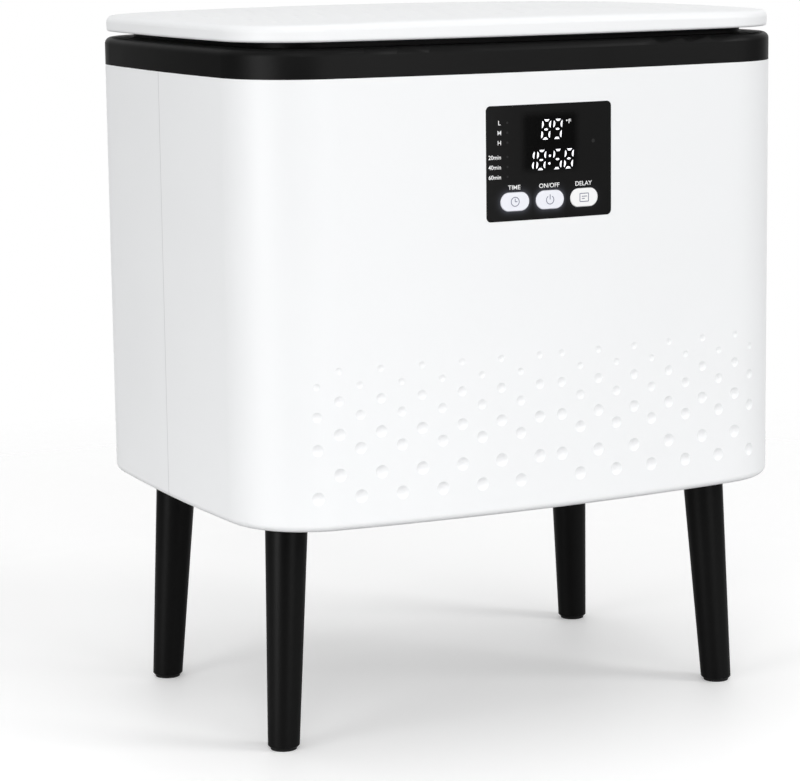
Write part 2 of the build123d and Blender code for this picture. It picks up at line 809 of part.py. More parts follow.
with BuildPart() as base_plate:
    band(plate_bottom, plate_top, shell_wall + part_gap)
    band(lip_top, plate_bottom, shell_wall + part_gap, shell_wall + part_gap + plate_skirt)
    rods(lip_screw_spots, lip_top, plate_bottom, screw_boss_diameter)
    rods(lip_screw_spots, lip_top, leg_height + screw_length, pilot_hole, Mode.SUBTRACT)
    rods(mount_spots, plate_bottom, plate_top, mount_boss_diameter + 2 * part_gap, Mode.SUBTRACT)
    rods(mount_screw_spots, plate_bottom, plate_top, pilot_hole, Mode.SUBTRACT)
    rods(power_post_spots, plate_top, power_board_bottom, power_post_diameter)
    rods(
        power_post_spots,
        power_board_top - small_screw_length,
        power_board_bottom,
        small_pilot,
        Mode.SUBTRACT,
    )
save(base_plate.part, "base_plate")

with BuildPart() as leg_mounts:
    rods(mount_spots, leg_top, plate_bottom, mount_diameter)
    rods(mount_spots, plate_bottom, mount_top, mount_boss_diameter)
    rods(mount_spots, leg_top, stud_top, stud_diameter + 2 * fit_gap, Mode.SUBTRACT)
    rods(mount_screw_spots, plate_top - mount_screw_length, plate_bottom, pilot_hole, Mode.SUBTRACT)
save(leg_mounts.part, "leg_mounts")

with BuildPart() as mount_screws:
    pan_head_screws(
        facing(mount_screw_spots, plate_top, up=True),
        screw_diameter,
        mount_screw_length,
        screw_head_diameter,
        screw_head_height,
    )
save(mount_screws.part, "mount_screws")

with BuildPart() as leg_studs:
    rods(mount_spots, leg_top - stud_grip, stud_top, stud_diameter)
save(leg_studs.part, "leg_studs")

glide_spots = [leg_centre(sx, sy, glide_height) for sx, sy in leg_sides.values()]
for name, (sx, sy) in leg_sides.items():
    foot_spot = leg_centre(sx, sy, glide_height)
    top_spot = leg_centre(sx, sy, leg_top)
    with BuildPart() as leg:
        with BuildSketch(Plane(origin=(*foot_spot, glide_height))):
            Circle(leg_radius(glide_height))
        with BuildSketch(Plane(origin=(*top_spot, leg_top))):
            Circle(leg_radius(leg_top))
        loft(ruled=True)
        chamfer(leg.faces().sort_by(Axis.Z)[0].edges(), length=leg_chamfer)
        rods([top_spot], leg_top - stud_grip, leg_top, stud_diameter + 2 * fit_gap, Mode.SUBTRACT)
        rods(
            [foot_spot],
            glide_height,
            glide_height + glide_stem_length,
            glide_stem_diameter + 2 * fit_gap,
            Mode.SUBTRACT,
        )
    save(leg.part, name)

with BuildPart() as foot_glides:
    rods(glide_spots, 0, glide_height, glide_diameter)
    rods(glide_spots, glide_height, glide_height + glide_stem_length - fit_gap, glide_stem_diameter)
save(foot_glides.part, "foot_glides")

# ---------------------------------------------------------------- control panel

key_z = panel_z - key_drop
key_names = {"time_key": -key_pitch, "power_key": 0.0, "delay_key": key_pitch}
switch_tip_y = board_front_y - switch_body - switch_plunger
stem_tip_y = switch_tip_y - key_stop_gap - key_travel

with BuildPart() as panel_fascia:
    add(bowed(rounded_panel(panel_width, panel_height, panel_corner), fascia_sink, fascia_back))
    for x in key_names.values():
        opening = pill(key_width + 2 * key_play, key_height + 2 * key_play, x, key_z)
        extrude(opening, amount=body_depth, mode=Mode.SUBTRACT)
save(panel_fascia.part, "panel_fascia")

flange_front = fascia_back + key_play
flange_back = flange_front + key_flange_thickness

for name, x in key_names.items():
    with BuildPart() as key:
        add(bowed(pill(key_width, key_height, x, key_z), fascia_sink - key_proud, flange_back))
        fillet(key.faces().sort_by(Axis.Y)[0].edges(), radius=key_edge_radius)
        add(
            bowed(
                pill(key_width + 2 * key_flange_width, key_height + 2 * key_flange_width, x, key_z),
                flange_front,
                flange_back,
            )
        )
        with BuildSketch(at_depth(stem_tip_y)) as stem:
            with Locations((x, key_z)):
                Circle(key_stem_diameter / 2)
        extrude(stem.sketch, amount=stem_tip_y - front_y(x, flange_front))
    save(key.part, name)

with BuildPart() as tact_switches:
    with BuildSketch(at_depth(board_front_y)) as switch_bodies:
        with Locations(*[(x, key_z) for x in key_names.values()]):
            RectangleRounded(switch_size, switch_size, switch_corner)
    extrude(switch_bodies.sketch, amount=switch_body)
    with BuildSketch(at_depth(board_front_y - switch_body)) as plungers:
        with Locations(*[(x, key_z) for x in key_names.values()]):
            Circle(switch_plunger_diameter / 2)
    extrude(plungers.sketch, amount=switch_plunger)
save(tact_switches.part, "tact_switches")

display_front_y = front_y(abs(display_x) + display_width / 2, fascia_back + part_gap)

with BuildPart() as display_module:
    with BuildSketch(at_depth(board_front_y)) as display_face:
        with Locations((display_x, panel_z + display_lift)):
            Rectangle(display_width, display_height)
    extrude(display_face.sketch, amount=board_front_y - display_front_y)
save(display_module.part, "display_module")

board_screw_spots = [
    (
        sx * (board_width - housing_post_diameter) / 2,
        panel_z + sz * (board_height - housing_post_diameter) / 2,
    )
    for sx in (-1, 1)
    for sz in (-1, 1)
]

with BuildPart() as control_board:
    with BuildSketch(at_depth(board_back_y)) as board_face:
        with Locations((0, panel_z)):
            Rectangle(board_width, board_height)
        with Locations(*board_screw_spots):
            Circle(small_pilot / 2, mode=Mode.SUBTRACT)
    extrude(board_face.sketch, amount=board_thickness)
save(control_board.part, "control_board")

with BuildPart() as board_screws:
    pan_head_screws(
        [Plane(origin=(x, board_front_y, z), z_dir=(0, -1, 0)) for x, z in board_screw_spots],
        small_screw_diameter,
        small_screw_length,
        small_head_diameter,
        small_head_height,
    )
save(board_screws.part, "board_screws")

with BuildPart() as panel_housing:
    with BuildSketch(at_depth(housing_back_y)) as housing_face:
        with Locations((0, panel_z)):
            RectangleRounded(housing_width, housing_height, panel_corner)
    extrude(housing_face.sketch, amount=housing_back_y + half_depth)
    with BuildSketch(at_depth(ear_back_y)) as ears:
        for x, z in ear_spots:
            with Locations((x - (housing_wall if x > 0 else -housing_wall) / 2, z)):
                Rectangle(housing_ear + housing_wall, housing_ear)
    extrude(ears.sketch, amount=housing_ear_thickness)
    with BuildSketch(at_depth(housing_floor_y)) as housing_hollow:
        with Locations((0, panel_z)):
            Rectangle(housing_width - 2 * housing_wall, housing_height - 2 * housing_wall)
    extrude(housing_hollow.sketch, amount=housing_floor_y + half_depth, mode=Mode.SUBTRACT)
    band(
        panel_z - housing_height,
        panel_z + housing_height,
        shell_wall + fit_gap,
        mode=Mode.INTERSECT,
    )
    with BuildSketch(at_depth(housing_floor_y)) as housing_posts:
        with Locations(*board_screw_spots):
            Circle(housing_post_diameter / 2)
    extrude(housing_posts.sketch, amount=housing_gap)
    with BuildSketch(at_depth(board_front_y + small_screw_length)) as post_pilots:
        with Locations(*board_screw_spots):
            Circle(small_pilot / 2)
    extrude(post_pilots.sketch, amount=small_screw_length, mode=Mode.SUBTRACT)
    with BuildSketch(at_depth(ear_back_y)) as ear_holes:
        with Locations(*ear_spots):
            Circle(small_pilot / 2)
    extrude(ear_holes.sketch, amount=housing_ear_thickness, mode=Mode.SUBTRACT)
save(panel_housing.part, "panel_housing")

with BuildPart() as panel_screws:
    pan_head_screws(
        [Plane(origin=(x, ear_back_y, z), z_dir=(0, 1, 0)) for x, z in ear_spots],
        small_screw_diameter,
        small_screw_length,
        small_head_diameter,
        small_head_height,
    )
save(panel_screws.part, "panel_screws")

# ---------------------------------------------------------------- power board and wiring

board_low_y = power_board_y - power_board_width / 2
board_row_y = power_board_y + component_row


def component(size, x, y):
    """Rectangular component standing on the power board, centred at x, y."""
    length, width, height = size
    slab(
        x - length / 2,
        x + length / 2,
        y - width / 2,
        y + width / 2,
        power_board_top,
        power_board_top + height,
    )


terminal_x = power_board_x - component_offset
terminal_y = board_low_y + terminal_margin + terminal_size[1] / 2
terminal_face_y = terminal_y - terminal_size[1] / 2
terminal_z = power_board_top + terminal_size[2] / 2

with BuildPart() as power_board:
    with BuildSketch(Plane.XY.offset(power_board_bottom)) as power_board_face:
        with Locations((power_board_x, power_board_y)):
            Rectangle(power_board_length, power_board_width)
        with Locations(*power_post_spots):
            Circle(small_pilot / 2, mode=Mode.SUBTRACT)
    extrude(power_board_face.sketch, amount=board_thickness)
save(power_board.part, "power_board")

with BuildPart() as power_board_screws:
    pan_head_screws(
        facing(power_post_spots, power_board_top, up=True),
        small_screw_diameter,
        small_screw_length,
        small_head_diameter,
        small_head_height,
    )
save(power_board_screws.part, "power_board_screws")

with BuildPart() as relay:
    component(relay_size, power_board_x + component_offset, board_row_y)
save(relay.part, "relay")

with BuildPart() as line_filter:
    component(filter_size, power_board_x - component_offset, board_row_y)
save(line_filter.part, "line_filter")

with BuildPart() as terminal_block:
    component(terminal_size, terminal_x, terminal_y)
save(terminal_block.part, "terminal_block")


def lead(points, radii, diameter):
    """Round lead along straight runs joined by tangent arcs."""
    with BuildPart() as wire:
        with BuildLine() as route:
            FilletPolyline(*points, radius=radii)
        with BuildSketch(Plane(origin=points[0], z_dir=Vector(*points[1]) - Vector(*points[0]))):
            Circle(diameter / 2)
        sweep(path=route.wires()[0])
    tube_volume = route.wires()[0].length * pi * diameter**2 / 4
    print(f"lead: bends {radii}, volume {wire.part.volume:.0f}, section times length {tube_volume:.0f}")
    return wire.part


harness_y = (front_y(0, shell_wall) + front_y(0, wrap_inner - wrap_thickness)) / 2
harness_x = terminal_x - terminal_pole
heater_lead_x = terminal_x + terminal_pole
floor_run_z = plate_top + harness_diameter / 2 + fit_gap
housing_low_z = panel_z - housing_height / 2

save(
    lead(
        [
            (harness_x, harness_y, housing_low_z),
            (harness_x, harness_y, floor_run_z),
            (harness_x, terminal_face_y - harness_end_run - harness_slope_run, floor_run_z),
            (harness_x, terminal_face_y - harness_end_run, terminal_z),
            (harness_x, terminal_face_y, terminal_z),
        ],
        [harness_bend, harness_bend, harness_end_bend],
        harness_diameter,
    ),
    "control_harness",
)
save(
    lead(
        [
            (0, cutout_y, pad_top - cutout_height),
            (0, cutout_y, terminal_z + heater_lead_drop),
            (heater_lead_x / 3, cutout_y + heater_lead_run, terminal_z - heater_lead_dip),
            (heater_lead_x, terminal_face_y - heater_lead_run, terminal_z),
            (heater_lead_x, terminal_face_y, terminal_z),
        ],
        [heater_lead_first_bend, heater_lead_bend, heater_lead_bend],
        heater_lead_diameter,
    ),
    "heater_lead",
)

# ---------------------------------------------------------------- lid

lid_screw_spots = ring_spots(lid_inset + lid_wall + screw_boss_diameter / 2 + part_gap)
lid_ceiling_z = lid_bottom + lid_ceiling
crown_radius = ((half_length - lid_inset) ** 2 + lid_crown**2) / (2 * lid_crown)
crown_centre_z = lid_top - crown_radius
leaf_boss_top = lid_bottom + small_screw_length + fit_gap


def crown_point(x, y, proud):
    """Point proud of the lid's crowned top, square off it above x, y."""
    rise = sqrt(crown_radius**2 - x**2 - y**2)
    share = (crown_radius + proud) / crown_radius
    return (x * share, y * share, crown_centre_z + rise * share)


with BuildPart() as lid_cover:
    band(lid_bottom, lid_top, lid_inset)
    with Locations((0, 0, crown_centre_z)):
        Sphere(crown_radius, mode=Mode.INTERSECT)
    fillet(lid_cover.faces().sort_by(Axis.Z)[-1].edges(), radius=lid_edge_radius)
    fillet(lid_cover.faces().sort_by(Axis.Z)[0].edges(), radius=lid_lower_radius)
    band(lid_bottom, lid_ceiling_z, lid_inset + lid_wall, mode=Mode.SUBTRACT)
    rods(lid_screw_spots, liner_top, lid_ceiling_z, screw_boss_diameter)
    rods(
        lid_screw_spots,
        liner_top,
        lid_bottom + screw_head_height + lid_screw_length,
        pilot_hole,
        Mode.SUBTRACT,
    )
    leaf_recess(lid_bottom, lid_leaf_top)
    lid_bowl_radius = (lid_dimple_diameter**2 / 4 + lid_dimple_depth**2) / (2 * lid_dimple_depth)
    lid_bowls = []
    for row in range(lid_dimple_rows):
        for column in range(lid_dimple_columns):
            x = dimple_first + (column + row % 2 / 2) * lid_dimple_pitch
            y = lid_dimple_first_row + row * lid_dimple_row_pitch
            for sx in (-1, 1):
                for sy in (-1, 1):
                    lid_bowls.append(crown_point(sx * x, sy * y, lid_bowl_radius - lid_dimple_depth))
    with Locations(*lid_bowls):
        Sphere(lid_bowl_radius, mode=Mode.SUBTRACT)
save(lid_cover.part, "lid_cover")

with BuildPart() as lid_liner:
    band(lid_bottom, liner_top, lid_inset + lid_wall + part_gap)
    rods(
        lid_screw_spots,
        lid_bottom,
        lid_bottom + screw_head_height,
        screw_head_diameter + 2 * part_gap,
        Mode.SUBTRACT,
    )
    rods(lid_screw_spots, lid_bottom, liner_top, clearance_hole, Mode.SUBTRACT)
    leaf_recess(lid_bottom, lid_leaf_top)
    rods(leaf_screw_spots, liner_top, leaf_boss_top, leaf_boss_diameter)
    rods(leaf_screw_spots, lid_bottom, lid_bottom + small_screw_length, small_pilot, Mode.SUBTRACT)
save(lid_liner.part, "lid_liner")

with BuildPart() as lid_pan:
    band(pan_bottom, lid_bottom, pan_inset)
    fillet(lid_pan.faces().sort_by(Axis.Z)[0].edges(), radius=pan_wall)
    band(pan_bottom + pan_wall, lid_bottom, pan_inset + pan_wall, mode=Mode.SUBTRACT)
save(lid_pan.part, "lid_pan")

with BuildPart() as lid_foam:
    band(liner_top + fit_gap, lid_ceiling_z - fit_gap, lid_foam_inset)
save(lid_foam.part, "lid_foam")

with BuildPart() as lid_screws:
    pan_head_screws(
        facing(lid_screw_spots, lid_bottom + screw_head_height, up=False),
        screw_diameter,
        lid_screw_length,
        screw_head_diameter,
        screw_head_height,
    )
save(lid_screws.part, "lid_screws")
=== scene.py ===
"""Finishes, panel printing and studio for a towel warmer bucket.

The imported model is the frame: its nodes keep their shape and place and get their materials here.
What is printed or lit on the control panel is modelled here, and so is the small trim.
Lengths are in metres; +Z is up and the front, with the panel, faces -Y.
"""

import math

import bmesh
import bpy
from mathutils import Matrix, Vector


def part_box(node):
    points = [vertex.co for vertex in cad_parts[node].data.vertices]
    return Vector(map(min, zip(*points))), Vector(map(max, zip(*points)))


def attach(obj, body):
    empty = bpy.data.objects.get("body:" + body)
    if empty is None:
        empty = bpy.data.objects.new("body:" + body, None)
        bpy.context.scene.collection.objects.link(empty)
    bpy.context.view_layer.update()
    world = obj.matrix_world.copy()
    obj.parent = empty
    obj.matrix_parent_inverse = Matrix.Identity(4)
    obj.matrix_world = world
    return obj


bl_info = {
    "name": "Towel Warmer Bucket",
    "version": (1, 0, 0),
    "blender": (4, 5, 0),
    "location": "3D View > Sidebar > Towel Warmer",
    "description": "Finishes, panel printing and studio for a towel warmer bucket",
    "category": "Object",
}

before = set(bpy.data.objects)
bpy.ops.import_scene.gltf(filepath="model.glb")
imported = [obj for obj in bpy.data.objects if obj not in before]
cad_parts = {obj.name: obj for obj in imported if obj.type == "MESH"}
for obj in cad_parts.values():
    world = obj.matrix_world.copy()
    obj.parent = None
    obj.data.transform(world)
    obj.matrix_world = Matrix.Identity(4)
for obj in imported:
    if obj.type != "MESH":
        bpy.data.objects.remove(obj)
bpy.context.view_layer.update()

MM = 0.001
MERGE_DISTANCE = 0.001 * MM

# ---------------------------------------------------------------- places taken from the frame


def middle(node):
    """Middle of a node's box."""
    low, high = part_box(node)
    return (low + high) / 2


shell_low, shell_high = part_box("front_shell")
half_length = shell_high.x
half_depth = -shell_low.y
front_bow = 18 * MM  # how far the middle of the front stands out before its ends
front_radius = (half_length**2 + front_bow**2) / (2 * front_bow)
fascia_sink = 0.3 * MM  # face of the fascia below the front's surface
panel_z = middle("panel_fascia").z
time_centre = middle("time_key")
power_centre = middle("power_key")
delay_centre = middle("delay_key")
key_pitch = delay_centre.x - power_centre.x


def front_y(x, inset=0.0):
    """Place of the bowed front on the y axis, at x, inset from the outer surface."""
    return front_radius - half_depth - math.sqrt((front_radius - inset) ** 2 - x**2)


# ---------------------------------------------------------------- colours and nodes

NOISE_RANGE = (0.3, 0.7)  # nearly all values of a noise lie between these
DRIFT_SIZE = 30  # size of the slow drift, counted in grains
BLACK = (0.0, 0.0, 0.0)


def hex_colour(code):
    """Linear colour of an sRGB hex value."""
    channels = [int(code[i : i + 2], 16) / 255 for i in (1, 3, 5)]
    return tuple(c / 12.92 if c <= 0.04045 else ((c + 0.055) / 1.055) ** 2.4 for c in channels)


def darker(colour, share):
    """That share of a colour's light."""
    return tuple(share * channel for channel in colour)


def per_metre(millimetres):
    """Scale of a texture whose cells are that many millimetres across."""
    return 1 / (millimetres * MM)


def add(tree, kind, links=None, **settings):
    """Add a node, set its properties, and give each named input its value or the socket that feeds it."""
    node = tree.nodes.new(kind)
    for name, value in settings.items():
        setattr(node, name, value)
    for socket, value in (links or {}).items():
        if isinstance(value, bpy.types.NodeSocket):
            tree.links.new(value, node.inputs[socket])
        else:
            node.inputs[socket].default_value = value
    return node


def feed(tree, shader, **sources):
    """Link each named input of the shader to the socket that feeds it."""
    for name, source in sources.items():
        tree.links.new(source, shader.inputs[name.replace("_", " ")])


def new_material(name, **shader_values):
    """Material with one Principled shader, and the values that are the same all over it."""
    material = bpy.data.materials.new(name)
    material.use_nodes = True
    shader = material.node_tree.nodes["Principled BSDF"]
    for socket, value in shader_values.items():
        shader.inputs[socket.replace("_", " ")].default_value = value
    return material, material.node_tree, shader


def between(tree, amount, first, second):
    """Colour between two others, by the amount."""
    sides = [(*side, 1) if isinstance(side, tuple) else side for side in (first, second)]
    blend = add(tree, "ShaderNodeMix", {0: amount, 6: sides[0], 7: sides[1]}, data_type="RGBA")
    return blend.outputs[2]


def spread(tree, value, low, high, start, end):
    """Value stretched from the range low to high onto the range start to end, and held there."""
    stretched = add(
        tree,
        "ShaderNodeMapRange",
        {"Value": value, "From Min": low, "From Max": high, "To Min": start, "To Max": end},
    )
    return stretched.outputs[0]


def sums(tree, operation, first, second=0.0, third=0.0):
    """Result of one arithmetic step."""
    step = add(tree, "ShaderNodeMath", {0: first, 1: second, 2: third}, operation=operation)
    return step.outputs[0]


def noise(tree, place, size, detail=3.0):
    """Noise whose blotches are that many millimetres across."""
    texture = add(
        tree,
        "ShaderNodeTexNoise",
        {"Vector": place, "Scale": per_metre(size), "Detail": detail, "Roughness": 0.6},
    )
    return texture.outputs[0]


def object_place(tree, stretch=(1, 1, 1)):
    """Object coordinates, stretched."""
    coordinates = add(tree, "ShaderNodeTexCoord")
    mapping = {"Vector": coordinates.outputs["Object"], "Scale": stretch}
    return add(tree, "ShaderNodeMapping", mapping).outputs[0]


def relief(tree, shader, height, depth):
    """Bump of that many millimetres on the shader."""
    bump = add(tree, "ShaderNodeBump", {"Height": height, "Distance": depth * MM, "Strength": 1.0})
    feed(tree, shader, Normal=bump.outputs[0])


def grained(name, codes, roughness, grain, depth, stretch=(1, 1, 1), **shader_values):
    """Material with a grain of that size and depth in millimetres, and slow drift in colour and gloss."""
    material, tree, shader = new_material(name, **shader_values)
    place = object_place(tree, stretch)
    drift = noise(tree, place, DRIFT_SIZE * grain, detail=2.0)
    paint = between(tree, drift, *[hex_colour(code) for code in codes])
    feed(tree, shader, Base_Color=paint, Roughness=spread(tree, drift, *NOISE_RANGE, *roughness))
    relief(tree, shader, noise(tree, place, grain), depth)
    return material


# ---------------------------------------------------------------- materials


def white_moulded_abs(name, colour, seam=False):
    """ABS injection moulded in a lightly sparked tool: white, satin, with a faint orange peel.

    The seam is the parting line of the two shells, a hairline groove, with painted shade darkening the
    colour along it.
    """
    material, tree, shader = new_material(name, IOR=1.5, Specular_IOR_Level=0.4)
    place = object_place(tree)
    height = noise(tree, place, 2.4, detail=2.0)
    drift = noise(tree, place, 90.0, detail=2.0)
    paint = between(tree, drift, darker(colour, 0.985), colour)
    if seam:
        groove, fade, peels_deep = 0.1 * MM, 0.55 * MM, 8.0
        across = add(tree, "ShaderNodeSeparateXYZ", {0: place}).outputs[1]
        seam_groove_and_shade = spread(tree, sums(tree, "ABSOLUTE", across), groove, fade, 1.0, 0.0)
        # painted shade: the colour is darkened along the seam, where shade would fall in its groove
        paint = between(tree, seam_groove_and_shade, paint, darker(colour, 0.62))
        height = sums(tree, "SUBTRACT", height, sums(tree, "MULTIPLY", seam_groove_and_shade, peels_deep))
    feed(tree, shader, Base_Color=paint, Roughness=spread(tree, drift, *NOISE_RANGE, 0.44, 0.5))
    relief(tree, shader, height, 0.012)
    return material


def black_moulded_abs():
    """ABS moulded in a satin tool: deep black, with soft highlights on its rounded edges."""
    return grained(
        "black_moulded_abs",
        ("#0B0B0B", "#101010"),
        roughness=(0.42, 0.48),
        grain=1.8,
        depth=0.006,
        Specular_IOR_Level=0.1,
    )


def satin_black_lacquer():
    """Black lacquer on turned hardwood: satin, with the grain just felt along the leg."""
    return grained(
        "satin_black_lacquer",
        ("#080808", "#0B0B0B"),
        roughness=(0.34, 0.44),
        grain=0.9,
        depth=0.02,
        stretch=(1, 1, 0.06),
        Specular_IOR_Level=0.12,
    )


def black_polypropylene():
    """Polypropylene moulded with a fine leather grain, for pieces out of sight."""
    return grained(
        "black_polypropylene",
        ("#191919", "#202020"),
        roughness=(0.5, 0.6),
        grain=0.8,
        depth=0.03,
        Specular_IOR_Level=0.35,
    )


def white_polypropylene():
    """Polypropylene moulded with a fine matt texture: the lining of the lid."""
    return grained(
        "white_polypropylene",
        ("#E4E5E5", "#EAEBEB"),
        roughness=(0.5, 0.58),
        grain=0.7,
        depth=0.02,
    )


def silicone(name, codes):
    """Moulded silicone rubber: matt, with a dusty bloom."""
    return grained(name, codes, roughness=(0.62, 0.75), grain=0.6, depth=0.02, Specular_IOR_Level=0.3)


def brushed_aluminium():
    """Aluminium sheet brushed along the wall before it was drawn: fine level scratches."""
    return grained(
        "brushed_aluminium",
        ("#BFC1C3", "#D2D4D5"),
        roughness=(0.3, 0.42),
        grain=0.9,
        depth=0.012,
        stretch=(0.03, 0.03, 1),
        Metallic=1.0,
    )


def zinc_plated_steel():
    """Steel with bright zinc plating: slightly blue, with a fine crystal bloom."""
    return grained(
        "zinc_plated_steel",
        ("#A9ADB2", "#C4C6C8"),
        roughness=(0.28, 0.42),
        grain=0.5,
        depth=0.006,
        Metallic=1.0,
    )


def blackened_steel():
    """Stamped steel with a black oxide finish: dark, with rubbed grey on its high spots."""
    return grained(
        "blackened_steel",
        ("#202122", "#2E2F31"),
        roughness=(0.4, 0.55),
        grain=0.7,
        depth=0.01,
        Metallic=0.9,
    )


def powder_coated_steel():
    """Steel with baked polyester powder: dark grey, with the powder's shallow orange peel."""
    return grained(
        "powder_coated_steel",
        ("#2B2B2D", "#333335"),
        roughness=(0.42, 0.5),
        grain=1.2,
        depth=0.03,
    )


def needled_felt():
    """Needled polyester felt: matt, loose short fibres in a warm off-white."""
    material, tree, shader = new_material("needled_felt", Roughness=0.95, Sheen_Weight=0.3)
    place = object_place(tree)
    fibres = noise(tree, place, 1.2, detail=6.0)
    lumps = noise(tree, place, 14.0, detail=3.0)
    lump_height = 1.5  # counted in fibres
    mixed = sums(tree, "MULTIPLY_ADD", lumps, lump_height, fibres)
    feed(tree, shader, Base_Color=between(tree, fibres, hex_colour("#CFCBC2"), hex_colour("#E6E3DB")))
    relief(tree, shader, mixed, 0.5)
    return material


def circuit_laminate():
    """Glass-epoxy laminate under green solder mask, with copper tracks that show paler through it."""
    material, tree, shader = new_material("circuit_laminate", Roughness=0.3)
    place = object_place(tree)
    cells = {"Vector": place, "Scale": per_metre(7.0)}
    squares = add(tree, "ShaderNodeTexVoronoi", cells, distance="CHEBYCHEV", feature="F1")
    track_pitch = 0.09  # counted in cells, as are the two edges of a track
    rings = sums(tree, "PINGPONG", squares.outputs["Distance"], track_pitch)
    copper = spread(tree, rings, 0.045, 0.05, 0.0, 1.0)
    feed(tree, shader, Base_Color=between(tree, copper, hex_colour("#0F4A2A"), hex_colour("#1E6B3E")))
    relief(tree, shader, copper, 0.03)
    return material


def component_epoxy():
    """Moulded black epoxy of switches, relay and filter: matt, with a fine grain."""
    return grained(
        "component_epoxy",
        ("#242424", "#2D2D2D"),
        roughness=(0.5, 0.62),
        grain=0.5,
        depth=0.01,
    )


def terminal_polyamide():
    """Green moulded polyamide of the terminal block."""
    return grained(
        "terminal_polyamide",
        ("#2C7A49", "#358A55"),
        roughness=(0.45, 0.55),
        grain=0.6,
        depth=0.01,
    )


def braided_glass_sleeve():
    """Black braided glass sleeve over the leads: a tight diagonal weave of 0.8 mm strands."""
    material, tree, shader = new_material("braided_glass_sleeve", Roughness=0.7, Sheen_Weight=0.2)
    place = object_place(tree)
    cell = 2.5  # millimetres; a wave texture has 3.2 bands to a cell
    waves = []
    for turn in (45, -45):
        turned = add(tree, "ShaderNodeMapping", {"Vector": place, "Rotation": (0, math.radians(turn), 0)})
        wave = add(tree, "ShaderNodeTexWave", {"Vector": turned.outputs[0], "Scale": per_metre(cell)})
        waves.append(wave.outputs["Fac"])
    weave = sums(tree, "MAXIMUM", *waves)
    feed(tree, shader, Base_Color=between(tree, weave, hex_colour("#0C0C0C"), hex_colour("#2A2A2A")))
    relief(tree, shader, weave, 0.1)
    return material


def key_shape(tree, place):
    """Distance in metres from the nearest key's outline, and how far right the point lies."""
    settings = bpy.context.scene.panel_settings
    parts = add(tree, "ShaderNodeSeparateXYZ", {0: place})
    right, up = parts.outputs[0], parts.outputs[2]
    count = sums(tree, "ROUND", sums(tree, "MULTIPLY", right, 1 / key_pitch))
    nearest = sums(tree, "MAXIMUM", sums(tree, "MINIMUM", count, 1.0), -1.0)
    within = sums(tree, "MULTIPLY_ADD", nearest, -key_pitch, right)
    straight = (settings.key_width - settings.key_height) / 2
    past = sums(tree, "MAXIMUM", sums(tree, "SUBTRACT", sums(tree, "ABSOLUTE", within), straight), 0.0)
    rise = sums(tree, "SUBTRACT", up, power_centre.z)
    squares = sums(tree, "MULTIPLY_ADD", past, past, sums(tree, "MULTIPLY", rise, rise))
    outline = sums(tree, "SUBTRACT", sums(tree, "SQRT", squares), settings.key_height / 2)
    return outline, right, up


def fascia_acrylic():
    """Black acrylic, printed on its back and polished.

    Behind the digits the print is left off, so that the dark filter of the display shows.
    Around the lit keys a little light leaks through the acrylic.
    """
    settings = bpy.context.scene.panel_settings
    material, tree, shader = new_material(
        "fascia_acrylic", IOR=1.49, Specular_IOR_Level=0.2, Emission_Strength=1.0
    )
    place = object_place(tree)
    outline, right, up = key_shape(tree, place)
    zone_x, zone_z = 0.5 * MM, panel_z + 14 * MM
    zone_reach_x, zone_reach_z, zone_fade = 19 * MM, 17 * MM, 6 * MM
    across = sums(tree, "ABSOLUTE", sums(tree, "SUBTRACT", right, zone_x))
    above = sums(tree, "ABSOLUTE", sums(tree, "SUBTRACT", up, zone_z))
    in_width = spread(tree, across, zone_reach_x, zone_reach_x + zone_fade, 1.0, 0.0)
    in_height = spread(tree, above, zone_reach_z, zone_reach_z + zone_fade, 1.0, 0.0)
    filter_zone = sums(tree, "MULTIPLY", in_width, in_height)
    paint = between(tree, filter_zone, settings.fascia[:], hex_colour("#050505"))
    leak = sums(tree, "EXPONENT", sums(tree, "MULTIPLY", outline, -1 / settings.glow_reach))
    resting_share = 0.15
    share = spread(tree, right, key_pitch * 0.4, key_pitch * 0.6, 1.0, resting_share)
    strength = sums(tree, "MULTIPLY", sums(tree, "MULTIPLY", leak, share), settings.glow)
    glow = between(tree, strength, BLACK, hex_colour("#D2D5EA"))
    dust = spread(tree, noise(tree, place, 0.4), 0.2, 0.8, 0.14, 0.2)
    feed(tree, shader, Base_Color=paint, Emission_Color=glow, Roughness=dust)
    return material


def key_diffuser():
    """Milky polycarbonate keys with a lamp behind them: two lit, and the third at rest and whiter."""
    settings = bpy.context.scene.panel_settings
    material, tree, shader = new_material("key_diffuser", IOR=1.58, Emission_Strength=1.0)
    place = object_place(tree)
    outline, right, _ = key_shape(tree, place)
    lit = spread(tree, right, key_pitch * 0.45, key_pitch * 0.55, 1.0, 0.0)
    paint = between(tree, lit, settings.key_resting[:], settings.key_lit[:])
    inner, outer, inner_share = -3 * MM, -0.2 * MM, 0.75
    edge = spread(tree, outline, inner, outer, inner_share, 1.0)
    resting_light = 0.02
    power = sums(tree, "MULTIPLY", edge, spread(tree, lit, 0.0, 1.0, resting_light, settings.key_light))
    gloss = spread(tree, noise(tree, place, 0.5), *NOISE_RANGE, 0.35, 0.45)
    feed(tree, shader, Base_Color=paint, Emission_Color=between(tree, power, BLACK, paint), Roughness=gloss)
    return material


def display_filter():
    """Smoked polycarbonate over the display's lamps."""
    return grained(
        "display_filter",
        ("#060606", "#0A0A0A"),
        roughness=(0.1, 0.16),
        grain=0.6,
        depth=0.003,
    )


def printing_ink(name, colour, light=0.0):
    """Screen-printed ink, or a lit segment: slightly uneven where the mesh of the screen was. Light given
    to ink is a painted glow.
    """
    material, tree, shader = new_material(
        name, Roughness=0.5, Specular_IOR_Level=0.2, Emission_Strength=light
    )
    screen = noise(tree, object_place(tree), 0.25, detail=1.0)
    paint = between(tree, screen, darker(colour, 0.93), colour)
    feed(tree, shader, Base_Color=paint, Emission_Color=paint)
    return material


# ---------------------------------------------------------------- making and placing pieces


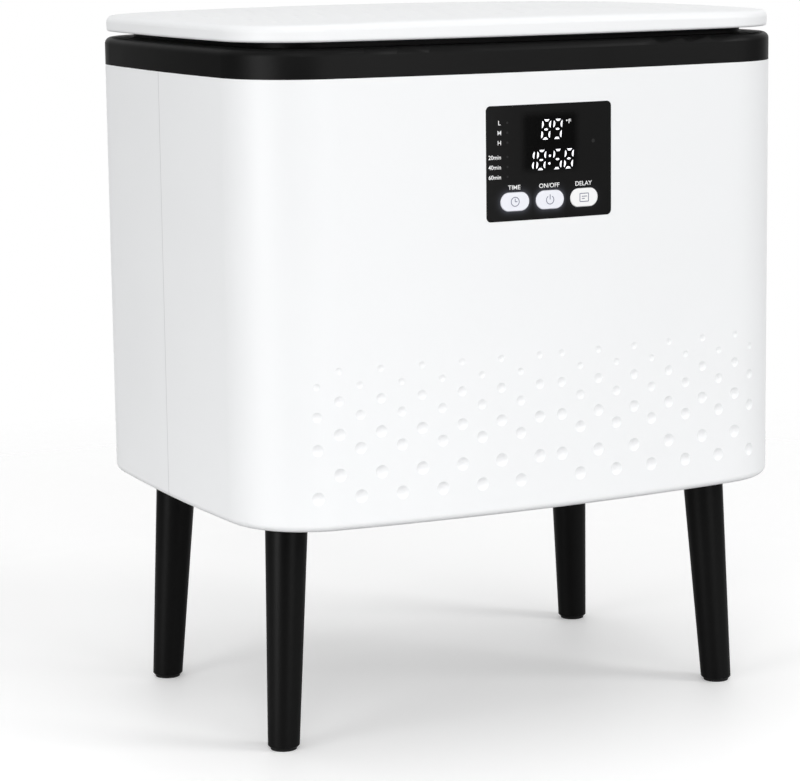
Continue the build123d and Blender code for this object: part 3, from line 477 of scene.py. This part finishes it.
def dress(material, *names):
    """Give CAD nodes a material."""
    for name in names:
        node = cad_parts[name]
        if not node.material_slots:
            node.data.materials.append(None)
        for place in node.material_slots:
            place.material = material


def finish_piece(name, shape, body, material):
    """Make an object of the bmesh, and tie it to its body and material slot."""
    bmesh.ops.recalc_face_normals(shape, faces=shape.faces)
    mesh = bpy.data.meshes.new(name)
    shape.to_mesh(mesh)
    shape.free()
    mesh.materials.append(material)
    piece = bpy.data.objects.new(name, mesh)
    bpy.context.collection.objects.link(piece)
    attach(piece, body)
    return piece


def upright(x, z, width, height):
    """Placing of a flat shape, made level, as a mark in the plane of the front."""
    stand = Matrix.Rotation(math.radians(90), 4, "X")
    return Matrix.Translation((x, 0, z)) @ stand @ Matrix.Diagonal((width, height, 1, 1))


def follow_front(shape, inset, thickness):
    """Give the flat marks a thickness and lay them on the bowed front at that inset."""
    bmesh.ops.remove_doubles(shape, verts=shape.verts, dist=MERGE_DISTANCE)
    raised = bmesh.ops.extrude_face_region(shape, geom=shape.faces[:], use_keep_orig=True)
    fronts = [item for item in raised["geom"] if isinstance(item, bmesh.types.BMVert)]
    bmesh.ops.translate(shape, vec=(0, -thickness, 0), verts=fronts)
    for vertex in shape.verts:
        vertex.co.y += front_y(vertex.co.x, inset)


def oval(shape, x, z, half_width, half_height, segments):
    """Oval flat mark. Gives its corners."""
    place = upright(x, z, half_width, half_height)
    made = bmesh.ops.create_circle(shape, cap_ends=True, segments=segments, radius=1.0, matrix=place)
    return made["verts"]


def disc(shape, x, z, radius, segments=24):
    """Round flat mark."""
    oval(shape, x, z, radius, radius, segments)


def bar(shape, x, z, length, height):
    """Straight flat mark. Gives its corners."""
    place = upright(x, z, length, height)
    return bmesh.ops.create_grid(shape, x_segments=1, y_segments=1, size=0.5, matrix=place)["verts"]


def arc(shape, x, z, radius, width, start, sweep, steps):
    """Curved flat mark, swept clockwise from the start angle, which is counted from the top."""
    ends = [
        shape.verts.new((x + reach * math.sin(start), 0, z + reach * math.cos(start)))
        for reach in (radius - width / 2, radius + width / 2)
    ]
    edge = shape.edges.new(ends)
    bmesh.ops.spin(
        shape,
        geom=[*ends, edge],
        cent=(x, 0, z),
        axis=(0, 1, 0),
        angle=sweep,
        steps=steps,
        use_merge=math.isclose(sweep, 2 * math.pi),
    )


def lettering(shape, words, capital, x, z, weight, align="CENTER", stretch=1.0):
    """Flat words, their capitals that tall, standing on the line z, with strokes fattened by the weight."""
    text = bpy.data.curves.new("words", "FONT")
    text.body = words
    text.align_x = align
    text.offset = weight
    holder = bpy.data.objects.new("words", text)
    flat = bpy.data.meshes.new_from_object(holder)
    bpy.data.objects.remove(holder)
    tall = max(vertex.co.y for vertex in flat.vertices)
    first = len(shape.verts)
    shape.from_mesh(flat)
    shape.verts.ensure_lookup_table()
    size = capital / tall
    bmesh.ops.transform(shape, matrix=upright(x, z, stretch * size, size), verts=shape.verts[first:])
    bpy.data.meshes.remove(flat)


# ---------------------------------------------------------------- settings


def length_setting(label, description, default):
    """A length in metres."""
    return bpy.props.FloatProperty(
        name=label, description=description, default=default, min=0.0, unit="LENGTH", precision=5
    )


def colour_setting(label, description, default):
    """A linear colour."""
    return bpy.props.FloatVectorProperty(
        name=label,
        description=description,
        default=hex_colour(default),
        min=0.0,
        max=1.0,
        size=3,
        subtype="COLOR",
    )


def share_setting(label, description, default):
    """A plain number."""
    return bpy.props.FloatProperty(name=label, description=description, default=default, min=0.0, max=2.0)


def power_setting(label, description, default):
    """Power of a lamp in watts."""
    return bpy.props.FloatProperty(name=label, description=description, default=default, min=0.0, max=500.0)


class BodySettings(bpy.types.PropertyGroup):
    """Colours of the housing and lid, and sizes of the trim under the body."""

    white: colour_setting("Housing white", "Colour of the moulded housing and lid", "#F1F2F3")
    rib_height: length_setting("Rib height", "Height of the ribs under the base plate", 2.4 * MM)
    rib_width: length_setting("Rib width", "Thickness of the ribs under the base plate", 1.4 * MM)
    rib_pitch: length_setting("Rib pitch", "Distance between the ribs", 38 * MM)


class PanelSettings(bpy.types.PropertyGroup):
    """Colours, light and print sizes of the control panel."""

    fascia: colour_setting("Fascia", "Colour of the acrylic", "#181818")
    key_lit: colour_setting("Lit key", "Colour of a lit key", "#E6E7EE")
    key_resting: colour_setting("Resting key", "Colour of the third key", "#F2F2F2")
    ink: colour_setting("Print", "Colour of the printed words", "#F2F2F2")
    icon: colour_setting("Icons", "Colour of the icons on the keys", "#74768C")
    key_width: length_setting("Key width", "Length of a key", 22.8 * MM)
    key_height: length_setting("Key height", "Height of a key", 13.1 * MM)
    print_thickness: length_setting("Print thickness", "Thickness of the printed marks", 0.05 * MM)
    label_height: length_setting("Label height", "Height of the words above the keys", 3.1 * MM)
    scale_height: length_setting("Scale height", "Height of the words at the left", 3.0 * MM)
    digit_height: length_setting("Digit height", "Height of the digits", 14.2 * MM)
    digit_width: length_setting("Digit width", "Width of a digit", 7.1 * MM)
    digit_pitch: length_setting("Digit pitch", "Distance between digits", 9.35 * MM)
    glow_reach: length_setting("Glow reach", "How far the light of a key leaks", 1.5 * MM)
    glow: share_setting("Glow", "Strength of that light beside the key", 0.09)
    key_light: share_setting("Key light", "Strength of the lamp behind a lit key", 0.07)


class StageSettings(bpy.types.PropertyGroup):
    """Floor, sky, lamps and camera."""

    floor: colour_setting("Floor", "Colour of the floor", "#F0F0F0")
    floor_radius: length_setting("Floor radius", "Where the floor ends", 1.3)
    floor_bounce: colour_setting("Floor bounce", "Colour of the light the floor throws back", "#B3B3B3")
    floor_lift: share_setting("Floor lift", "White added to the floor for the camera alone", 0.19)
    sky: share_setting("Sky", "Light from overhead", 0.9)
    rear_wall: share_setting("Rear wall", "Light from behind, which the gloss doesn't show", 0.65)
    sky_gloss: share_setting("Sky in the gloss", "Light from all round that shows in the gloss alone", 0.1)
    card_gloss: share_setting("Card in the gloss", "White card behind that shows in the gloss alone", 0.98)
    key_lamp: power_setting("Key lamp", "Lamp at the front left, high up", 9.3)
    left_lamp: power_setting("Left lamp", "Lamp at the left, low down", 33.4)
    right_lamp: power_setting("Right lamp", "Lamp at the front right", 42.5)
    front_lamp: power_setting("Front lamp", "Lamp in front, low down", 20.5)
    distance: length_setting("Camera distance", "Camera to the middle of the body, along the floor", 2.0965)
    height: length_setting("Camera height", "Height of the camera", 0.59283)


# ---------------------------------------------------------------- operators


class TOWELWARMER_OT_housing(bpy.types.Operator):
    """Finish the shells, the lid, the rim and the base"""

    bl_idname = "towelwarmer.housing"
    bl_label = "Housing and Lid"

    def execute(self, context):
        white = context.scene.body_settings.white[:]
        dress(white_moulded_abs("white_abs_shell", white, seam=True), "front_shell", "rear_shell")
        dress(white_moulded_abs("white_abs_lid", white), "lid_cover")
        dress(white_polypropylene(), "lid_liner", "lid_pan")
        dress(black_moulded_abs(), "rim_ring")
        dress(silicone("black_silicone", ("#0E0E0E", "#151515")), "neck_gasket", "foot_glides")
        hidden = ("base_plate", "inlet_plate", "cord_gland", "gland_nut", "panel_housing")
        dress(black_polypropylene(), *hidden)
        return {"FINISHED"}


class TOWELWARMER_OT_base_ribs(bpy.types.Operator):
    """Add the stiffening ribs under the base plate"""

    bl_idname = "towelwarmer.base_ribs"
    bl_label = "Base Ribs"

    MOUNT_THICKNESS = 4 * MM  # from the underside of the base plate to the lowest of the mounts
    REACH = (146 * MM, 122 * MM)  # half the length of the ribs that run across, and of those that run back
    ROUNDING = 0.25 * MM

    def execute(self, context):
        settings = context.scene.body_settings
        middle_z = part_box("leg_mounts")[0].z + self.MOUNT_THICKNESS - settings.rib_height / 2
        shape = bmesh.new()
        for axis, reach in enumerate(self.REACH):
            count = int(reach / settings.rib_pitch)
            for step in range(-count, count + 1):
                place = [0, 0, middle_z]
                place[axis] = step * settings.rib_pitch
                size = [settings.rib_width, settings.rib_width, settings.rib_height, 1]
                size[1 - axis] = 2 * self.REACH[1 - axis]
                cube = Matrix.Translation(place) @ Matrix.Diagonal(size)
                bmesh.ops.create_cube(shape, size=1.0, matrix=cube)
        bmesh.ops.bevel(
            shape,
            geom=shape.edges[:],
            offset=self.ROUNDING,
            segments=2,
            profile=0.5,
            affect="EDGES",
            material=-1,
        )
        plastic = bpy.data.materials["black_polypropylene"]
        finish_piece("base_ribs", shape, "housing", plastic)
        return {"FINISHED"}


class TOWELWARMER_OT_legs(bpy.types.Operator):
    """Finish the legs, their mounts and all metal hardware"""

    bl_idname = "towelwarmer.legs"
    bl_label = "Legs and Hardware"

    def execute(self, context):
        legs = ("leg_front_left", "leg_front_right", "leg_rear_left", "leg_rear_right")
        dress(satin_black_lacquer(), *legs)
        dress(powder_coated_steel(), "leg_mounts", "seam_straps")
        dress(blackened_steel(), "rim_hinge_leaves", "lid_hinge_leaves")
        screws = [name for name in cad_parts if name.endswith("_screws")]
        dress(zinc_plated_steel(), "leg_studs", "hinge_pins", *screws)
        return {"FINISHED"}


class TOWELWARMER_OT_tub(bpy.types.Operator):
    """Finish the tub, its heater and its insulation"""

    bl_idname = "towelwarmer.tub"
    bl_label = "Tub and Heater"

    def execute(self, context):
        dress(brushed_aluminium(), "inner_tub")
        dress(silicone("orange_silicone", ("#B4511F", "#C25E28")), "heater_film")
        dress(needled_felt(), "insulation_wrap", "floor_pad", "lid_foam")
        return {"FINISHED"}


class TOWELWARMER_OT_electrics(bpy.types.Operator):
    """Finish the boards, their components and the leads"""

    bl_idname = "towelwarmer.electrics"
    bl_label = "Boards and Leads"

    def execute(self, context):
        dress(circuit_laminate(), "control_board", "power_board")
        parts = ("tact_switches", "relay", "line_filter", "thermal_cutout", "temperature_sensor")
        dress(component_epoxy(), *parts)
        dress(terminal_polyamide(), "terminal_block")
        dress(braided_glass_sleeve(), "control_harness", "heater_lead")
        return {"FINISHED"}


class TOWELWARMER_OT_panel(bpy.types.Operator):
    """Finish the fascia, the keys and the display"""

    bl_idname = "towelwarmer.panel"
    bl_label = "Control Panel"

    def execute(self, context):
        dress(fascia_acrylic(), "panel_fascia")
        dress(key_diffuser(), "time_key", "power_key", "delay_key")
        dress(display_filter(), "display_module")
        return {"FINISHED"}


class TOWELWARMER_OT_labels(bpy.types.Operator):
    """Print the words and lamp windows on the fascia"""

    bl_idname = "towelwarmer.labels"
    bl_label = "Panel Print"

    # Heights are above the middle of the panel, to the foot of a word or the middle of a mark
    KEY_WORDS = (("TIME", time_centre), ("ON/OFF", power_centre), ("DELAY", delay_centre))
    KEY_WORDS_SHIFT = -0.5 * MM
    KEY_WORDS_Z = -18.6 * MM
    LEVELS = ("L", "M", "H")
    LEVELS_X = -40.3 * MM
    LEVELS_Z = 27.2 * MM
    MINUTES = ("20min", "40min", "60min")
    MINUTES_X = -39 * MM
    MINUTES_Z = 3.2 * MM
    ROW_PITCH = 7 * MM
    ROW_LAMP_X = -34 * MM
    ROW_LAMP_RADIUS = 0.8 * MM
    UNIT_X = 15.2 * MM
    UNIT_Z = 26.2 * MM
    DEGREE = (14 * MM, 28.3 * MM, 0.55 * MM)  # x, height and radius
    RECEIVER = (36 * MM, 12.9 * MM, 1.4 * MM)  # x, height and radius

    def execute(self, context):
        settings = context.scene.panel_settings
        small = settings.scale_height
        shape = bmesh.new()
        lamps = bmesh.new()
        for word, key in self.KEY_WORDS:
            x, z = key.x + self.KEY_WORDS_SHIFT, panel_z + self.KEY_WORDS_Z
            lettering(shape, word, settings.label_height, x, z, weight=0.003, stretch=1.03)
        narrow = {"weight": 0.006, "align": "RIGHT", "stretch": 0.94}
        wide = {"weight": 0.012, "align": "LEFT", "stretch": 1.2}
        for row, (level, minutes) in enumerate(zip(self.LEVELS, self.MINUTES)):
            level_z = panel_z + self.LEVELS_Z - row * self.ROW_PITCH
            lettering(shape, level, small, self.LEVELS_X, level_z, weight=0.004)
            minutes_z = panel_z + self.MINUTES_Z - row * self.ROW_PITCH
            lettering(shape, minutes, small, self.MINUTES_X, minutes_z, **narrow)
            for foot in (level_z, minutes_z):
                disc(lamps, self.ROW_LAMP_X, foot + small / 2, self.ROW_LAMP_RADIUS, segments=16)
        lettering(shape, "F", small, self.UNIT_X, panel_z + self.UNIT_Z, **wide)
        x, z, radius = self.DEGREE
        disc(shape, x, panel_z + z, radius, segments=12)
        follow_front(shape, fascia_sink, settings.print_thickness)
        # painted glow: the white print gets a little emission of its own, though ink is no lamp
        ink = printing_ink("white_print", settings.ink[:], light=0.25)
        finish_piece("panel_labels", shape, "housing", ink)

        x, z, radius = self.RECEIVER
        disc(lamps, x, panel_z + z, radius)
        follow_front(lamps, fascia_sink, settings.print_thickness)
        smoked = printing_ink("smoked_window", hex_colour("#1B1B1B"))
        finish_piece("lamp_windows", lamps, "housing", smoked)
        return {"FINISHED"}


class TOWELWARMER_OT_digits(bpy.types.Operator):
    """Light the temperature and the time on the display"""

    bl_idname = "towelwarmer.digits"
    bl_label = "Display Digits"

    ROWS = (("89", -2.9 * MM, 22.6 * MM), ("18", -16.3 * MM, 1.2 * MM), ("58", 6.3 * MM, 1.2 * MM))
    COLON_X = -0.1 * MM
    COLON_RISE = 2.7 * MM  # middle of the row to a dot
    COLON_LEAN = 0.25 * MM
    COLON_RADIUS = 0.9 * MM
    SEGMENTS = {"1": "bc", "5": "acdfg", "8": "abcdefg", "9": "abcdfg"}
    SLANT = 0.09  # sideways, counted in heights
    # Shares of a digit's width or height
    BAR_THICKNESS = 0.105
    CAP_LENGTH = 0.6
    SIDE_THICKNESS = 0.19
    SIDE_LENGTH = 0.36
    MIDDLE_HALF_LENGTH = 0.21
    CAP_INNER_LENGTH = 0.42  # share of the cap's own length

    def cap(self, shape, x, z, length, height, up):
        """Lit bar at the top or bottom of a digit, shorter on its inner side."""
        for corner in bar(shape, x, z, length, height):
            if (corner.co.z - z) * up < 0:
                corner.co.x = x + self.CAP_INNER_LENGTH * (corner.co.x - x)

    def side(self, shape, x, z, width, height, outward):
        """Lit bar at the side of a digit, straight outside at x and bulging inwards, with pointed ends."""
        beyond = 0.3 * width
        corners = oval(shape, x + outward * beyond, z, width + beyond, height / 2, segments=16)
        edges = {edge for corner in corners for edge in corner.link_edges}
        faces = {face for corner in corners for face in corner.link_faces}
        bmesh.ops.bisect_plane(
            shape,
            geom=[*corners, *edges, *faces],
            plane_co=(x, 0, z),
            plane_no=(outward, 0, 0),
            clear_outer=True,
        )

    def segment(self, shape, letter, x, z, width, height):
        """One lit bar of a digit, by its usual letter."""
        thick = self.BAR_THICKNESS * height
        if letter in "ad":
            up = 1 if letter == "a" else -1
            self.cap(shape, x, z + up * (height - thick) / 2, self.CAP_LENGTH * width, thick, up)
        elif letter == "g":
            oval(shape, x, z, self.MIDDLE_HALF_LENGTH * width, thick / 2, segments=12)
        else:
            outward = 1 if letter in "bc" else -1
            up = 1 if letter in "bf" else -1
            edge, level = x + outward * width / 2, z + up * height / 4
            self.side(shape, edge, level, self.SIDE_THICKNESS * width, self.SIDE_LENGTH * height, outward)

    def row(self, digits, x, z, settings):
        """Mesh of slanting digits one pitch apart, the first centred at x."""
        line = bmesh.new()
        for place, digit in enumerate(digits):
            middle_x = x + place * settings.digit_pitch
            for letter in self.SEGMENTS[digit]:
                self.segment(line, letter, middle_x, z, settings.digit_width, settings.digit_height)
        slant = Matrix.Identity(4)
        slant[0][2] = self.SLANT
        slant[0][3] = -self.SLANT * z
        bmesh.ops.transform(line, matrix=slant, verts=line.verts)
        mesh = bpy.data.meshes.new("line")
        line.to_mesh(mesh)
        line.free()
        return mesh

    def execute(self, context):
        settings = context.scene.panel_settings
        shape = bmesh.new()
        for digits, x, z in self.ROWS:
            mesh = self.row(digits, x, panel_z + z, settings)
            shape.from_mesh(mesh)
            bpy.data.meshes.remove(mesh)
        colon_z = panel_z + self.ROWS[-1][2]
        for up in (-1, 1):
            x = self.COLON_X + up * self.COLON_LEAN
            disc(shape, x, colon_z + up * self.COLON_RISE, self.COLON_RADIUS, segments=12)
        follow_front(shape, fascia_sink, settings.print_thickness)
        lit = printing_ink("lit_segment", hex_colour("#FAFAFF"), light=0.6)
        finish_piece("display_digits", shape, "housing", lit)
        return {"FINISHED"}


class TOWELWARMER_OT_icons(bpy.types.Operator):
    """Print an icon on each key"""

    bl_idname = "towelwarmer.icons"
    bl_label = "Key Icons"

    LINE = 0.55  # thickness in mm
    # Arcs are x, z, radius, start, sweep and steps, and bars x, z, length and height,
    # in mm from the middle of the key and in degrees clockwise from the top
    CLOCK = ([(0, 0, 3.2, 0, 360, 32)], [(0, 1, LINE, 2.2), (0.8, 0, 1.8, LINE)])
    POWER = ([(0, -0.2, 3, 32, 296, 32)], [(0, 1.9, LINE, 3.6)])
    LINES = (
        [(3.2, 2.5, 0.4, 0, 90, 6), (3.2, -2.5, 0.4, 90, 90, 6)]
        + [(-3.2, -2.5, 0.4, 180, 90, 6), (-3.2, 2.5, 0.4, 270, 90, 6)],
        [(-3.6, 0, LINE, 5), (3.6, 0, LINE, 5), (0, -2.9, 6.4, LINE), (0, 2.9, 6.4, LINE)]
        + [(0.2, 0.8, 4.4, LINE), (-0.8, -0.8, 2.4, LINE)],
    )
    ICONS = (
        ("time_key", time_centre, CLOCK),
        ("power_key", power_centre, POWER),
        ("delay_key", delay_centre, LINES),
    )

    def execute(self, context):
        settings = context.scene.panel_settings
        ink = printing_ink("icon_ink", settings.icon[:])
        for key, centre, (arcs, bars) in self.ICONS:
            shape = bmesh.new()
            for x, z, radius, start, sweep, steps in arcs:
                x, z = centre.x + x * MM, centre.z + z * MM
                turns = (math.radians(start), math.radians(sweep))
                arc(shape, x, z, radius * MM, self.LINE * MM, *turns, steps)
            for x, z, length, height in bars:
                bar(shape, centre.x + x * MM, centre.z + z * MM, length * MM, height * MM)
            follow_front(shape, 0.0, settings.print_thickness)
            finish_piece(key.replace("key", "icon"), shape, key, ink)
        return {"FINISHED"}


class TOWELWARMER_OT_stage(bpy.types.Operator):
    """Lay the floor and set the lamps, the sky and the camera"""

    bl_idname = "towelwarmer.stage"
    bl_label = "Studio"

    AIM = Vector((0, 0, 0.3))
    LAMPS = (  # name, place and size in metres
        ("key_lamp", (-1.0, -1.7, 1.5), 0.9),
        ("left_lamp", (-2.6, -0.7, 0.45), 1.2),
        ("right_lamp", (2.4, -2.2, 1.4), 1.2),
        ("front_lamp", (0.3, -2.8, 0.5), 1.2),
    )
    CARD_DIRECTION = (0.5, 0.866, 0.0)
    CARD_EDGE = (0.7, 0.9)  # cosines of the angles off its middle where it begins and where it is full

    def floor(self, settings):
        """Pale floor that fades into the background and is open from below."""
        material, tree, shader = new_material("studio_floor", Roughness=0.6)
        place = object_place(tree)
        relief(tree, shader, noise(tree, place, 3.0), 0.02)
        distance = add(tree, "ShaderNodeVectorMath", {0: place}, operation="LENGTH").outputs["Value"]
        fade_from, fade_to = 0.4 * settings.floor_radius, 0.95 * settings.floor_radius
        edge = spread(tree, distance, fade_from, fade_to, 0.0, 1.0)
        below = add(tree, "ShaderNodeNewGeometry").outputs["Backfacing"]
        seen = add(tree, "ShaderNodeLightPath").outputs["Is Camera Ray"]
        feed(tree, shader, Base_Color=between(tree, seen, settings.floor_bounce[:], settings.floor[:]))
        extra = sums(tree, "MULTIPLY", seen, settings.floor_lift)
        lift = add(tree, "ShaderNodeEmission", {"Strength": extra})
        paper = add(tree, "ShaderNodeAddShader", {0: shader.outputs[0], 1: lift.outputs[0]})
        open_air = add(tree, "ShaderNodeBsdfTransparent")
        clear = sums(tree, "MAXIMUM", edge, below)
        mixed = add(tree, "ShaderNodeMixShader", {0: clear, 1: paper.outputs[0], 2: open_air.outputs[0]})
        tree.links.new(mixed.outputs[0], tree.nodes["Material Output"].inputs[0])
        shape = bmesh.new()
        bmesh.ops.create_circle(shape, cap_ends=True, segments=96, radius=settings.floor_radius)
        mesh = bpy.data.meshes.new("floor")
        shape.to_mesh(mesh)
        shape.free()
        mesh.materials.append(material)
        ground = bpy.data.objects.new("floor", mesh)
        bpy.context.collection.objects.link(ground)

    def sky(self, settings):
        """White behind the object, light from overhead and behind, and a card that shows in the gloss."""
        world = bpy.data.worlds.new("studio")
        bpy.context.scene.world = world
        world.use_nodes = True
        tree = world.node_tree
        light = tree.nodes["Background"]
        light.inputs["Color"].default_value = (1, 1, 1, 1)
        path = add(tree, "ShaderNodeLightPath")
        direction = add(tree, "ShaderNodeTexCoord").outputs["Generated"]
        _, back, rise = add(tree, "ShaderNodeSeparateXYZ", {0: direction}).outputs
        overhead = sums(tree, "MULTIPLY", sums(tree, "MAXIMUM", rise), settings.sky)
        falloff = sums(tree, "POWER", sums(tree, "MAXIMUM", back), 2.0)
        wall = sums(tree, "MULTIPLY", falloff, settings.rear_wall)
        pair = {0: direction, 1: self.CARD_DIRECTION}
        toward = add(tree, "ShaderNodeVectorMath", pair, operation="DOT_PRODUCT").outputs["Value"]
        card = spread(tree, toward, *self.CARD_EDGE, settings.sky_gloss, settings.card_gloss)
        around = spread(tree, path.outputs["Is Glossy Ray"], 0.0, 1.0, wall, card)
        unseen = sums(tree, "ADD", overhead, around)
        strength = spread(tree, path.outputs["Is Camera Ray"], 0.0, 1.0, unseen, 1.0)
        tree.links.new(strength, light.inputs["Strength"])

    def lamp(self, name, spot, size, power):
        """Soft square lamp aimed at the middle of the body."""
        light = bpy.data.lights.new(name, "AREA")
        light.size = size
        light.energy = power
        lamp = bpy.data.objects.new(name, light)
        lamp.location = spot
        lamp.rotation_euler = (self.AIM - lamp.location).to_track_quat("-Z", "Y").to_euler()
        bpy.context.collection.objects.link(lamp)

    def camera(self, settings):
        """Camera a little above the lid, turned to the left front corner."""
        yaw = math.radians(26.844)
        pitch = math.radians(8.793)
        roll = math.radians(-0.714)
        aside = -28.15 * MM
        ahead = Vector((math.sin(yaw), math.cos(yaw), 0))
        right = Vector((math.cos(yaw), -math.sin(yaw), 0))
        up = Vector((0, 0, 1))
        look = ahead * math.cos(pitch) - up * math.sin(pitch)
        top = up * math.cos(pitch) + ahead * math.sin(pitch)
        side = right * math.cos(roll) + top * math.sin(roll)
        top = top * math.cos(roll) - right * math.sin(roll)
        data = bpy.data.cameras.new("camera")
        data.sensor_width = 36.0
        data.lens = 123.67
        data.shift_y = -0.0631
        data.clip_start = 0.01
        data.clip_end = 100.0
        camera = bpy.data.objects.new("camera", data)
        turn = Matrix((side, top, -look)).transposed().to_4x4()
        spot = right * aside - ahead * settings.distance + up * settings.height
        camera.matrix_world = Matrix.Translation(spot) @ turn
        bpy.context.collection.objects.link(camera)
        bpy.context.scene.camera = camera

    def execute(self, context):
        settings = context.scene.stage_settings
        self.floor(settings)
        self.sky(settings)
        for name, spot, size in self.LAMPS:
            self.lamp(name, spot, size, getattr(settings, name))
        self.camera(settings)
        context.scene.view_settings.view_transform = "Standard"
        return {"FINISHED"}


class TOWELWARMER_PT_sidebar(bpy.types.Panel):
    """Lists the steps and their settings"""

    bl_label = "Towel Warmer"
    bl_idname = "TOWELWARMER_PT_sidebar"
    bl_space_type = "VIEW_3D"
    bl_region_type = "UI"
    bl_category = "Towel Warmer"

    def draw(self, context):
        for step in STEPS:
            self.layout.operator(step.bl_idname)
        scene = context.scene
        for group in (scene.body_settings, scene.panel_settings, scene.stage_settings):
            box = self.layout.box()
            for name in group.bl_rna.properties.keys():
                if name not in ("rna_type", "name"):
                    box.prop(group, name)


STEPS = (
    TOWELWARMER_OT_housing,
    TOWELWARMER_OT_base_ribs,
    TOWELWARMER_OT_legs,
    TOWELWARMER_OT_tub,
    TOWELWARMER_OT_electrics,
    TOWELWARMER_OT_panel,
    TOWELWARMER_OT_labels,
    TOWELWARMER_OT_digits,
    TOWELWARMER_OT_icons,
    TOWELWARMER_OT_stage,
)
CLASSES = (BodySettings, PanelSettings, StageSettings, *STEPS, TOWELWARMER_PT_sidebar)


def register():
    """Add the settings, the operators and the panel."""
    for each in CLASSES:
        bpy.utils.register_class(each)
    bpy.types.Scene.body_settings = bpy.props.PointerProperty(type=BodySettings)
    bpy.types.Scene.panel_settings = bpy.props.PointerProperty(type=PanelSettings)
    bpy.types.Scene.stage_settings = bpy.props.PointerProperty(type=StageSettings)


def unregister():
    """Take them away again."""
    del bpy.types.Scene.stage_settings
    del bpy.types.Scene.panel_settings
    del bpy.types.Scene.body_settings
    for each in reversed(CLASSES):
        bpy.utils.unregister_class(each)


def main():
    """Build every piece and the studio."""
    register()
    for step in STEPS:
        group, name = step.bl_idname.split(".")
        getattr(getattr(bpy.ops, group), name)()


if __name__ == "__main__":
    main()
